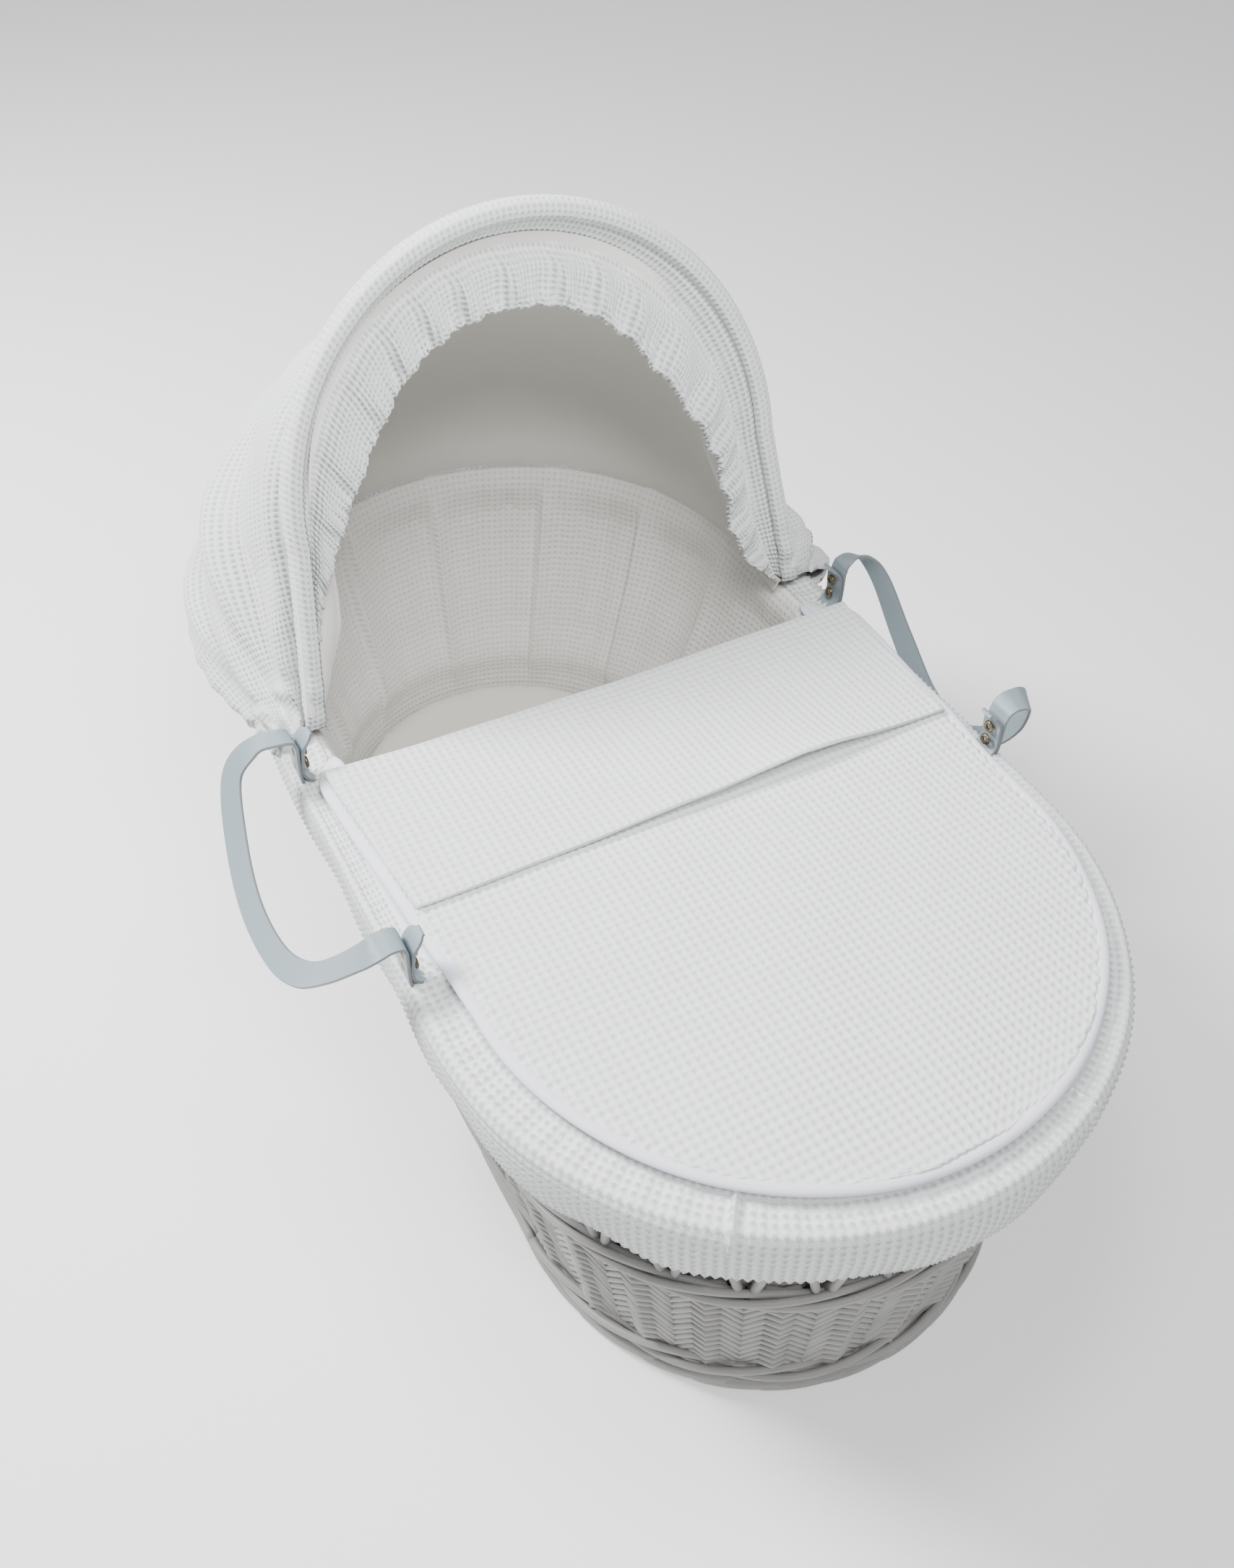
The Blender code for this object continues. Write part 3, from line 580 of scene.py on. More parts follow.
def stake_pairs():
    """Pairs of stakes that rise through the weave, part above it and meet their neighbours at the rim."""
    chance = np.random.default_rng(SEED + 1)
    routes = []
    share = np.linspace(0, 1, 16)
    bottom, top = WALL_BOTTOM, RIM_HEIGHT
    for column in range(PITCHES):
        for side in (-1, 1):
            z = bottom + (top - bottom) * share
            rise = np.clip((z - WALE_HEIGHT + 0.006) / (LATTICE_TOP - WALE_HEIGHT + 0.006), 0, 1)
            jitter = chance.normal(0, 0.015)
            pitch = column + side * (0.06 + 0.42 * rise ** 1.1) + jitter
            out = side * 0.0015 * rise - 0.0005 - 0.0052 * np.clip(1 - rise / 0.12, 0, 1)
            routes.append(by_pitch(pitch, out, z))
    return canes("stake_pairs", routes, sizes().stake / 2, material_for("willow"), resolution=2)


def twisted_ring(name, strands, per_strand, height, swing, radius, out=0.0, rise=0.8):
    """Rods twisted together round the basket, each strand passing over per_strand pairs of stakes."""
    count = PITCHES * 8
    turns = np.arange(count + 1) / count
    routes = []
    for strand in range(strands):
        phase = 2 * np.pi * (turns * PITCHES / per_strand + strand / strands)
        routes.append(by_girth(turns, out + swing * np.cos(phase), height + swing * rise * np.sin(phase)))
    return canes(name, routes, radius, material_for("willow"), resolution=2)


def lapped_ring(name, height, radius, length, rise, out, dive, seed):
    """Short canes laid round the basket like scales: each lies over the next one's root and tucks in."""
    chance = np.random.default_rng(seed)
    share = np.linspace(0, 1, 22)
    routes, tapers = [], []
    for column in range(PITCHES):
        start = column - 0.5 * length + chance.normal(0, 0.05)
        lift = rise * (0.5 - 0.5 * np.cos(np.pi * np.clip(share * 1.15, 0, 1))) - rise / 2
        bow = out - dive * np.clip((np.abs(share - 0.5) * 2 - 0.55) / 0.45, 0, 1) ** 1.5
        jig = chance.normal(0, 0.0006)
        routes.append(by_pitch(start + share * length, bow, height + lift + jig))
        tapers.append((1 - 0.35 * np.abs(share - 0.45) ** 1.5 * 2) * chance.uniform(0.88, 1.06))
    return canes(name, routes, radius, material_for("willow"), tapers, resolution=2)


class BASKET_OT_willow(bpy.types.Operator):
    """Weave the willow wall, its wales, stakes, foot border and rim"""
    bl_idname = "basket.willow"
    bl_label = "Willow basket"

    def execute(self, context):
        rods = weave_rods()
        backing = weave_back()
        stakes = stake_pairs()
        foot_low, foot_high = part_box("foot_border")
        foot_middle = (foot_low[2] + foot_high[2]) / 2
        foot = lapped_ring("foot_border_canes", foot_middle + 0.0005, 0.0056, 2.1, 0.0040, 0.0066, 0.0075, 3)
        second = twisted_ring("foot_wale_rods", 3, 5, foot_high[2] + 0.012, 0.0042, 0.0030, out=0.0048,
                              rise=1.3)
        upper = twisted_ring("upper_wale_rods", 4, 5, WALE_HEIGHT - 0.002, 0.0040, 0.0026, out=0.0026,
                             rise=1.35)
        rim = twisted_ring("rim_border_canes", 4, 4, RIM_HEIGHT, RIM_RADIUS - 0.0045, 0.0044)
        for piece, nodes in ((rods, ["woven_wall"]), (backing, ["woven_wall"]), (stakes, ["stake_lattice"]),
                             (foot, ["foot_border"]), (second, ["foot_border"]), (upper, ["upper_wale"]),
                             (rim, ["rim_border"])):
            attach(piece, "basket")
            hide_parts(*nodes)
        show_node("base_board", "board")
        return {"FINISHED"}


# ---- Dressing ---------------------------------------------------------------------------------
def pits(u, v):
    """Depth of the waffle below its ridges at places on the cloth, in metres."""
    cell = sizes().cell
    across, along = np.sin(np.pi * u / cell) ** 2, np.sin(np.pi * v / cell) ** 2
    return sizes().relief * (0.75 * across * along + 0.25 * (across + along))


def slot_share(points):
    """1 along the middle of the side openings where the straps leave the dressing, 0 away from them."""
    head, foot = STRAP_X
    x = points[..., 0]
    inside = np.clip((x - head + 0.012) / 0.03, 0, 1) * np.clip((foot + 0.012 - x) / 0.03, 0, 1)
    return inside * inside * (3 - 2 * inside) * (np.abs(points[..., 1]) > RIM_HALF_WIDTH * 0.8)


def strap_places():
    found = []
    for end in ("head", "foot"):
        low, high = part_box(f"left_{end}_strap_end")
        found.append((low[0] + high[0]) / 2)
    return found


STRAP_X = strap_places()


DART_TURNS = (0.094, 0.2)    # where the cuff's darts are, in turns round the basket


def cuff():
    """The dressing's cuff: over the rim, down outside it to an elastic hem, with darts at the foot."""
    cell = sizes().cell
    cells_round = round(GIRTH * 1.06 / cell)
    per_cell = 4
    count = cells_round * per_cell
    low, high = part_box("cuff")
    hem, top = low[2] + 0.0015, high[2]
    profile = [(-0.0115, top - 0.0016), (-0.0040, top - 0.0032), (0.0050, top - 0.0034),
               (0.0115, top - 0.0028), (0.0162, top - 0.0068), (0.0190, top - 0.0165), (0.0202, top - 0.030),
               (0.0196, top - 0.044), (0.0180, hem + 0.012), (0.0140, hem + 0.0025), (0.0096, hem - 0.0008)]
    face = smooth_line(np.array(profile), 200)
    length = np.concatenate([[0], np.cumsum(np.linalg.norm(np.diff(face, axis=0), axis=1))])
    rows = int(length[-1] / cell) * per_cell
    v = np.arange(rows + 1) * cell / per_cell
    out = np.interp(v, length, face[:, 0])
    z = np.interp(v, length, face[:, 1])
    under = [(0.0078, hem - 0.0018), (0.0062, hem - 0.0006), (0.0062, hem + 0.0030), (0.0095, hem + 0.008),
             (0.0150, hem + 0.020), (0.0155, top - 0.030), (0.0138, top - 0.012), (0.0060, top - 0.0080),
             (-0.0060, top - 0.0062), (-0.0112, top - 0.0040)]
    out = np.concatenate([out, [p[0] for p in under], out[:1]])
    z = np.concatenate([z, [p[1] for p in under], z[:1]])
    v = np.concatenate([v, v[-1] + 0.004 * np.arange(1, len(under) + 2)])
    turns = np.arange(count + 1) / count
    grid_turns, grid_out = np.meshgrid(turns, out, indexing="ij")
    grid_z = np.broadcast_to(z, grid_out.shape)
    base = by_girth(grid_turns, grid_out, grid_z)
    share = slot_share(base)
    opening = share * np.clip(1 - (grid_out + 0.0115) / 0.029, 0, 1)
    base = by_girth(grid_turns, grid_out + 0.0120 * opening, grid_z)
    normal = surface_normals(base, closed_a=True, closed_b=True)
    u = turns[:, None] * count * cell / per_cell + 0 * grid_out
    grid_v = np.broadcast_to(v, grid_out.shape)
    on_face = (np.arange(len(out)) <= rows)[None, :]
    depth = -pits(u, grid_v) * on_face
    foot_turn = turns[:, None] * 2 * np.pi
    gather = 0.0006 * np.sin(foot_turn * 110 + 1.3 * np.sin(foot_turn * 7))
    gather = gather * np.exp(-((grid_v - 0.012) / 0.012) ** 2)
    hang = 0.0016 * np.sin(foot_turn * 17 + 2 * np.sin(foot_turn * 3)) * np.clip((grid_v - 0.02) / 0.05, 0, 1)
    dart = np.zeros_like(depth)
    for place in DART_TURNS:
        away = (np.mod(turns - place + 0.5, 1) - 0.5)[:, None] * GIRTH
        dart -= 0.0062 * np.exp(-(away / 0.0014) ** 2) * np.clip(1.3 - grid_v / 0.04, 0, 1) * on_face
    moved = base + normal * (depth + gather * on_face + hang + dart)[..., None]
    scallop = 0.0014 * np.sin(foot_turn * 34 + 1.7 * np.sin(foot_turn * 5))
    scallop = scallop * np.clip((grid_v - 0.045) / 0.03, 0, 1)
    moved[..., 2] += scallop
    moved[-1] = moved[0]
    moved[:, -1] = moved[:, 0]
    uv = np.stack([u, grid_v], axis=2)
    mesh = grid_mesh("cuff_cloth", moved, uv, closed_a=True, closed_b=True)
    close_holes(mesh)
    return finish_object("cuff_cloth", mesh, material_for("waffle"))


def smooth_line(points, count):
    """Evenly spaced places on a Catmull-Rom curve through the points."""
    points = np.asarray(points, dtype=float)
    padded = np.vstack([2 * points[0] - points[1], points, 2 * points[-1] - points[-2]])
    found = []
    for a, b, c, d in zip(padded, padded[1:], padded[2:], padded[3:]):
        t = np.linspace(0, 1, 24, endpoint=False)[:, None]
        found.append(0.5 * (2 * b + (c - a) * t + (2 * a - 5 * b + 4 * c - d) * t ** 2
                            + (3 * b - a - 3 * c + d) * t ** 3))
    line = np.vstack(found + [points[-1:]])
    length = np.concatenate([[0], np.cumsum(np.linalg.norm(np.diff(line, axis=0), axis=1))])
    even = np.linspace(0, length[-1], count)
    return np.stack([np.interp(even, length, line[:, i]) for i in range(points.shape[1])], axis=1)


def liner():
    """The padded liner: up the inside of the wall and over the rim, quilted into upright panels."""
    top = DRESSING_TOP
    profile = [(-0.0160, FLOOR_TOP + 0.001), (-0.0170, 0.046), (-0.0250, 0.075), (-0.0225, 0.12),
               (-0.0180, 0.18), (-0.0185, 0.225), (-0.0190, RIM_HEIGHT), (-0.0165, top - 0.0075),
               (-0.0125, top - 0.0030), (-0.0085, top - 0.0042)]
    face = smooth_line(np.array(profile), 64)
    back = smooth_line(np.array([(-0.0085, top - 0.0070), (-0.0100, top - 0.0100), (-0.0112, RIM_HEIGHT),
                                 (-0.0085, 0.20), (-0.0078, 0.12), (-0.0072, FLOOR_TOP + 0.001)]), 14)
    section = np.vstack([face, back, face[:1]])
    count = 900
    turns = np.arange(count + 1) / count
    grid_turns, grid_out = np.meshgrid(turns, section[:, 0], indexing="ij")
    grid_z = np.broadcast_to(section[:, 1], grid_out.shape)
    base = by_girth(grid_turns, grid_out, grid_z)
    share = slot_share(base) * (grid_out > -0.012)
    base = by_girth(grid_turns, grid_out - 0.004 * share, grid_z)
    normal = surface_normals(base, closed_a=True, closed_b=True)
    panels = 19
    sway = 0.0100 * np.sin(grid_turns * 2 * np.pi * 9)
    place = np.mod((grid_turns + sway * (grid_z / RIM_HEIGHT - 0.5)) * panels + 0.5, 1)
    pillow = np.sin(np.pi * place) ** 0.5
    lap = 0.0085 * (1 - place) * np.clip(place / 0.05, 0, 1)
    height = (np.clip((grid_z - FLOOR_TOP - 0.030) / 0.07, 0, 1)
              * np.clip((RIM_HEIGHT + 0.004 - grid_z) / 0.03, 0.12, 1))
    on_face = (np.arange(len(section)) < len(face))[None, :]
    swell = (0.0070 * pillow + lap - 0.0035) * height * on_face
    length = np.concatenate([[0], np.cumsum(np.linalg.norm(np.diff(section, axis=0), axis=1))])
    folds = 0.0010 * np.sin(grid_turns * 2 * np.pi * 61 + 4 * np.sin(grid_turns * 2 * np.pi * 5))
    folds = folds * height * on_face
    moved = base + normal * (swell + folds)[..., None]
    moved[-1] = moved[0]
    moved[:, -1] = moved[:, 0]
    girth = round(GIRTH / sizes().cell) * sizes().cell
    uv = np.stack(np.broadcast_arrays(grid_turns * girth, length[None, :]), axis=2)
    mesh = grid_mesh("liner_cloth", moved, uv, closed_a=True, closed_b=True)
    close_holes(mesh)
    return finish_object("liner_cloth", mesh, material_for("liner_waffle"))


def slot_tapes(side):
    """Flat bias tape along both edges of the opening between a side's two straps."""
    sign = -1 if side == "left" else 1
    x = np.linspace(STRAP_X[0] - 0.008, STRAP_X[1] + 0.008, 60)
    inside = np.clip((x - STRAP_X[0] + 0.012) / 0.03, 0, 1) * np.clip((STRAP_X[1] + 0.012 - x) / 0.03, 0, 1)
    open_share = inside * inside * (3 - 2 * inside)
    pieces = []
    for edge, start, reach, drop in (("outer", -0.0105, 0.0112, 0.0024), ("inner", -0.0120, 0.0, 0.0020)):
        y = sign * (RIM_HALF_WIDTH + start + reach * open_share)
        centres = np.stack([x, y, np.full_like(x, DRESSING_TOP - drop)], axis=1)
        pieces.append(sweep(f"{side}_slot_tape_{edge}", centres, 0.0046, material_for("piping"), sides=12,
                            flatness=0.42))
    return pieces


def mattress():
    """A foam mattress in a quilted cotton cover: swollen by cloth pressure, pulled in at its piped edges."""
    low, high = (Vector(corner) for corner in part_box("mattress"))
    half_length, half_width = (high.x - low.x) / 2 - 0.004, (high.y - low.y) / 2 - 0.004
    bm = bmesh.new()
    bmesh.ops.create_circle(bm, cap_ends=True, segments=64, radius=half_width)
    for vert in bm.verts:
        vert.co.x += math.copysign(half_length - half_width, vert.co.x) if abs(vert.co.x) > 1e-6 else 0
    for vert in bm.verts:
        vert.co.z = low.z + 0.003
    made = bmesh.ops.extrude_face_region(bm, geom=bm.faces[:])
    raised = [item for item in made["geom"] if isinstance(item, bmesh.types.BMVert)]
    bmesh.ops.translate(bm, vec=(0, 0, high.z - low.z - 0.006), verts=raised)
    bmesh.ops.recalc_face_normals(bm, faces=bm.faces)
    mesh = bpy.data.meshes.new("mattress_pad")
    bm.to_mesh(mesh)
    bm.free()
    thing = finish_object("mattress_pad", mesh, material_for("ticking"))
    remesh = thing.modifiers.new("Remesh", "REMESH")
    remesh.mode = "VOXEL"
    remesh.voxel_size = 0.0055
    apply_modifiers(thing)
    swell(thing, 3.0, 0.003)
    spread_uv(thing.data)
    thing.data.shade_smooth()
    return thing


def apply_modifiers(thing):
    graph = bpy.context.evaluated_depsgraph_get()
    mesh = bpy.data.meshes.new_from_object(thing.evaluated_get(graph))
    old = thing.data
    thing.modifiers.clear()
    thing.data = mesh
    bpy.data.meshes.remove(old)


def swell(thing, pressure, cap):
    """Blow a pad up by cloth pressure for 20 frames, moving no point further than cap."""
    start = vertex_places(thing.data)
    cloth = thing.modifiers.new("Cloth", "CLOTH")
    cloth.settings.use_pressure = True
    cloth.settings.uniform_pressure_force = pressure
    cloth.settings.effector_weights.gravity = 0
    for frame_number in range(1, 21):
        bpy.context.scene.frame_set(frame_number)
    apply_modifiers(thing)
    move = vertex_places(thing.data) - start
    length = np.linalg.norm(move, axis=1, keepdims=True)
    move *= np.minimum(1, cap / np.maximum(length, 1e-9))
    thing.data.vertices.foreach_set("co", (start + move).ravel())
    bpy.context.scene.frame_set(1)
    thing.data.update()


def spread_uv(mesh):
    """A flat UV map in metres, looking down."""
    layer = mesh.uv_layers.new(name="UVMap") if not mesh.uv_layers else mesh.uv_layers[0]
    layer.data.foreach_set("uv", vertex_places(mesh)[loop_corners(mesh)][:, :2].ravel())


class BASKET_OT_dressing(bpy.types.Operator):
    """Sew the liner, the cuff, the bound side openings and the mattress"""
    bl_idname = "basket.dressing"
    bl_label = "Dressing"

    def execute(self, context):
        lining = liner()
        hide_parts("liner")
        skirt = cuff()
        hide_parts("cuff", "cuff_elastic")
        for piece in (lining, skirt):
            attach(piece, "basket")
        for side in ("left", "right"):
            for tape in slot_tapes(side):
                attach(tape, "basket")
                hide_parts(f"{side}_slot_binding")
        pad = mattress()
        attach(pad, "basket")
        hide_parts("mattress")
        show_node("liner_floor", "ticking")
        return {"FINISHED"}


# ---- Coverlet ---------------------------------------------------------------------------------
def coverlet_outline():
    """The coverlet's edge from the frame: where its head and foot are, its half width at the head, and its
    middle across.
    """
    (x0, y0, _), (x1, y1, _) = BINDING_LOW, BINDING_HIGH
    return x0, x1, (y1 - y0) / 2, (y1 + y0) / 2


COVERLET_FOOT_HALF_WIDTH = 0.205


def coverlet_half_width(x, inset=0.0):
    head, foot, head_half, _ = coverlet_outline()
    centre = foot - COVERLET_FOOT_HALF_WIDTH
    share = np.clip((x - head) / (centre - head), 0, 1)
    straight = head_half + (COVERLET_FOOT_HALF_WIDTH - head_half) * share - inset
    radius = COVERLET_FOOT_HALF_WIDTH - inset
    arc = np.sqrt(np.maximum(radius ** 2 - np.maximum(x - centre, 0) ** 2, 0))
    return np.where(x < centre, straight, arc)


def quilt_height(x, y):
    """The lie of the coverlet: nearly flat, held up at its edges by the cuff and sagging a little between."""
    head, foot, head_half, offset = coverlet_outline()
    across = np.clip(np.abs(y - offset) / head_half, 0, 1)
    sag = -0.005 * (1 - across ** 2) * np.exp(-((x - head) / 0.09) ** 2)
    crown = 0.0016 * (1 - across ** 2) * np.sin(np.pi * np.clip((x - head) / (foot - head), 0, 1))
    soft = 0.0008 * np.sin(x * 41 + 1.2 * np.sin(y * 23)) * np.sin(y * 37 + 0.7)
    return sag + crown + soft


def quilt_sheet(name, x_low, x_high, inset, under, thickness, lift=None, puckers=True):
    """A waffle quilt between two places along the basket: a fine top, rounded edges and a plain underside."""
    cell = sizes().cell
    offset = coverlet_outline()[3]
    step = cell / 4
    count = int(round((x_high - x_low) / step))
    t = np.linspace(0, 1, count + 1)
    x = x_low + (x_high - x_low) * t
    half = coverlet_half_width(x, inset)
    rows = int(2 * np.max(half) / step)
    b = np.linspace(-1, 1, rows + 1)
    grid_x, grid_b = np.meshgrid(x, b, indexing="ij")
    grid_y = offset + half[:, None] * grid_b
    edge = np.minimum((1 - np.abs(grid_b)) * half[:, None], np.minimum(grid_x - x_low, 10))
    fall = np.clip(edge / (thickness * 0.9), 0, 1)
    round_off = thickness * (1 - np.sqrt(np.maximum(1 - (1 - fall) ** 2, 0))) * 0.7
    z = under + thickness + quilt_height(grid_x, grid_y) - round_off
    z -= 0.6 * pits(grid_x, grid_y) * np.clip(edge / 0.006, 0, 1)
    if puckers:
        z += 0.0006 * np.sin(grid_x * 700 + grid_y * 320) * np.exp(-(edge / 0.012) ** 2)
    if lift is not None:
        z += lift(grid_x, grid_y)
    top = np.stack([grid_x, grid_y, z], axis=2)
    coarse = np.linspace(1, -1, 14)
    low_x, low_b = np.meshgrid(x, coarse, indexing="ij")
    low_y = offset + half[:, None] * low_b
    low_z = under + quilt_height(low_x, low_y) + 0.0002
    if lift is not None:
        low_z = low_z + lift(low_x, low_y)
    bottom = np.stack([low_x, low_y, low_z], axis=2)
    points = np.concatenate([top, bottom, top[:, :1]], axis=1)
    uv = points[..., :2].copy()
    mesh = grid_mesh(name, points, uv, closed_b=True)
    close_holes(mesh)
    return finish_object(name, mesh, material_for("coverlet_waffle"))


def turnback_lift(x, y):
    """How the turned-back hem stands off the coverlet: open over its right half, closed at the left."""
    hem = TURNBACK_HIGH[0]
    near = np.exp(-np.maximum(hem - x, 0) / 0.022)
    along = np.exp(-((y - 0.085) / 0.062) ** 2) + 0.35 * np.exp(-((y + 0.02) / 0.05) ** 2)
    return 0.0095 * near * along


class BASKET_OT_coverlet(bpy.types.Operator):
    """Quilt the coverlet, turn its head back and pipe its edges"""
    bl_idname = "basket.coverlet"
    bl_label = "Coverlet"

    def execute(self, context):
        radius = (BINDING_HIGH[2] - BINDING_LOW[2]) / 2
        under = COVERLET_LOW[2]
        thickness = COVERLET_HIGH[2] - COVERLET_LOW[2]
        head, foot, head_half, offset = coverlet_outline()
        quilt = quilt_sheet("coverlet_quilt", COVERLET_LOW[0], COVERLET_HIGH[0] + radius, radius * 0.8, under,
                            thickness)
        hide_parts("coverlet_panel")
        turned = quilt_sheet("coverlet_turned_hem", TURNBACK_LOW[0] - 0.0015, TURNBACK_HIGH[0], radius * 1.7,
                             TURNBACK_LOW[2], TURNBACK_HIGH[2] - TURNBACK_LOW[2], turnback_lift,
                             puckers=False)
        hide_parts("coverlet_turnback")
        centre = foot - COVERLET_FOOT_HALF_WIDTH
        arc = np.linspace(-np.pi / 2, np.pi / 2, 90)
        reach = COVERLET_FOOT_HALF_WIDTH - radius
        side_x = np.linspace(head, centre, 50)[:-1]
        side_y = coverlet_half_width(side_x, radius)
        right = np.stack([side_x, offset - side_y], axis=1)
        left = np.stack([side_x[::-1], offset + side_y[::-1]], axis=1)
        round_foot = np.stack([centre + reach * np.cos(arc), offset + reach * np.sin(arc)], axis=1)
        route = np.vstack([right, round_foot, left])
        wave = 0.0007 * np.sin(np.arange(len(route)) * 0.33)
        z = under + radius + quilt_height(route[:, 0], route[:, 1]) + wave
        piping = sweep("coverlet_piping", np.column_stack([route, z]), radius * 1.02, material_for("piping"),
                       sides=14, flatness=0.66)
        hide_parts("coverlet_binding")
        for piece, slot in ((quilt, "waffle"), (turned, "waffle"), (piping, "cotton")):
            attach(piece, "coverlet")
        return {"FINISHED"}


# ---- Hood -------------------------------------------------------------------------------------
def arch(t, inset=0.0):
    """The hoop in its own plane: (across, up) for a share of the way from its left foot to its right."""
    radius = HOOD_ARCH_RADIUS - inset
    spring = HOOD_HEIGHT - inset - radius
    foot = HOOD_FOOT_HALF_WIDTH - inset
    leg = math.hypot(spring - 0.001, foot - radius)
    total = 2 * leg + math.pi * radius
    s = np.asarray(t, dtype=float) * total
    angle = np.pi - np.clip((s - leg) / radius, 0, np.pi)
    across = radius * np.cos(angle)
    up = spring + radius * np.sin(angle)
    left = np.clip(1 - s / leg, 0, 1)
    right = np.clip((s - leg - math.pi * radius) / leg, 0, 1)
    across = across - left * (foot - radius) + right * (foot - radius)
    up = up - (left + right) * (spring - 0.001)
    return across, up


def in_hoop_plane(across, up, forward):
    """From the hoop's plane to the room; forward is towards the foot end, square to the plane."""
    sin, cos = math.sin(HOOD_TILT), math.cos(HOOD_TILT)
    return np.stack(np.broadcast_arrays(HINGE.x - up * sin + forward * cos, across,
                                        HINGE.z + up * cos + forward * sin), axis=-1)


HOOD_HEM_OUT = 0.0225        # the hem's reach outside the rim's middle
HOOD_HEM_DROP = 0.016        # and how far below it the hem is tucked


def hood_hem(t, hem_out):
    """The hood's gathered hem: round the head end, hem_out outside the rim's middle."""
    straight = RIM_HALF_LENGTH - RIM_HALF_WIDTH
    reach = RIM_HALF_WIDTH + hem_out
    flat = straight + HINGE.x
    total = 2 * flat + math.pi * reach
    s = np.asarray(t, dtype=float) * total
    angle = np.clip((s - flat) / reach, 0, np.pi)
    x = -straight - reach * np.sin(angle)
    x = np.where(s < flat, HINGE.x - s, x)
    x = np.where(s > flat + math.pi * reach, HINGE.x - (total - s), x)
    return x, -reach * np.cos(angle)


def hood_surface(t, b, hem_out=HOOD_HEM_OUT, hem_drop=HOOD_HEM_DROP):
    """Points on the hood's crown: from the hoop (b = 0) back to the hem (b = 1)."""
    across, up = arch(t, inset=0.004)
    front = in_hoop_plane(across, up, -0.006)
    feet = np.exp(-(np.minimum(t, 1 - t) / 0.045) ** 2)
    hem_x, hem_y = hood_hem(t, hem_out)
    hem_y = hem_y - np.sign(hem_y) * 0.008 * feet
    hem = np.stack([hem_x, hem_y, RIM_HEIGHT - hem_drop + feet * (hem_drop + 0.016)], axis=-1)
    span = np.linalg.norm(hem - front, axis=-1, keepdims=True)
    outward = np.stack([hem_x - HINGE.x * 1.6, hem_y, np.zeros_like(hem_x)], axis=-1)
    outward /= np.linalg.norm(outward, axis=-1, keepdims=True)
    one = front + span * np.array([-0.25, 0, -0.24])
    two = hem + span * np.array([0, 0, 0.42]) + outward * (0.018 + span * 0.17)
    b = b[..., None]
    return (1 - b) ** 3 * front + 3 * (1 - b) ** 2 * b * one + 3 * (1 - b) * b ** 2 * two + b ** 3 * hem


def hood_drape(t, b):
    """How far the hood's cloth lies off its smooth surface: slack behind the hoop, creases that fan out
    from the hinges, and gathers into the elastic."""
    turn = t * 2 * np.pi
    sides = np.exp(-((t - 0.17) / 0.15) ** 2) + np.exp(-((t - 0.83) / 0.15) ** 2)
    fan = 0.0095 * sides * np.sin(2 * np.pi * (3.3 * b + 0.5 * np.sin(1.3 * turn) + 0.1))
    fan *= np.sin(np.pi * b) ** 0.5
    fan += 0.0034 * sides * np.sin(2 * np.pi * (7.7 * b - 0.8 * np.sin(turn) + 0.3)) * np.sin(np.pi * b)
    slack = -0.0200 * np.exp(-((b - 0.15) / 0.085) ** 2) * np.clip(t * 12, 0, 1) * np.clip((1 - t) * 12, 0, 1)
    hang = 0.0050 * np.sin(turn * 6 + 1.1 * np.sin(turn * 2 + 1) + 1.5 * b) * np.clip((b - 0.35) / 0.4, 0, 1)
    gather = 0.0024 * np.sin(turn * 47 + 3 * np.sin(turn * 4)) * np.clip((b - 0.78) / 0.2, 0, 1)
    gather += 0.0016 * np.sin(turn * 83 + 2 * np.sin(turn * 7)) * np.clip((b - 0.88) / 0.1, 0, 1)
    feet = np.exp(-(np.minimum(t, 1 - t) / 0.05) ** 2)
    puff = 0.016 * np.exp(-((t - 0.955) / 0.045) ** 2) * np.sin(np.pi * b) ** 0.6
    crumple = feet * 0.0040 * np.sin(b * 21 + 3 * np.sin(turn * 11)) * np.sin(np.pi * b)
    return fan + slack + hang + gather + puff + crumple


HOOP_CHANNEL = 0.0078        # radius of the cloth channel round the hoop


def hoop_channel(t, angles):
    """The channel that holds the hoop, at angles round it: 0 is outermost and 90 is its front."""
    rows = []
    taper = 0.35 + 0.65 * np.sin(np.pi / 2 * np.clip(np.minimum(t, 1 - t) / 0.035, 0, 1))
    for angle in np.radians(angles):
        across, up = arch(t, inset=0.0022 - HOOP_CHANNEL * math.cos(angle))
        pinch = 0.0015 * np.sin(t * 210) * np.exp(-(np.minimum(t, 1 - t) / 0.05) ** 2)
        rows.append(in_hoop_plane(across, up, 0.001 + pinch + 1.35 * HOOP_CHANNEL * taper * math.sin(angle)))
    return np.stack(rows, axis=1)


def cased_sheet(name, face, back, uv, material):
    """A thin closed sheet: a fine face, and a coarse back that has fewer rows of the same columns."""
    points = np.concatenate([face, back[:, ::-1], face[:, :1]], axis=1)
    behind = np.linspace(uv.shape[1] - 1, 0, back.shape[1]).astype(int)
    uv = np.concatenate([uv, uv[:, behind], uv[:, :1]], axis=1)
    mesh = grid_mesh(name, points, uv, closed_b=True)
    close_holes(mesh)
    return finish_object(name, mesh, material)


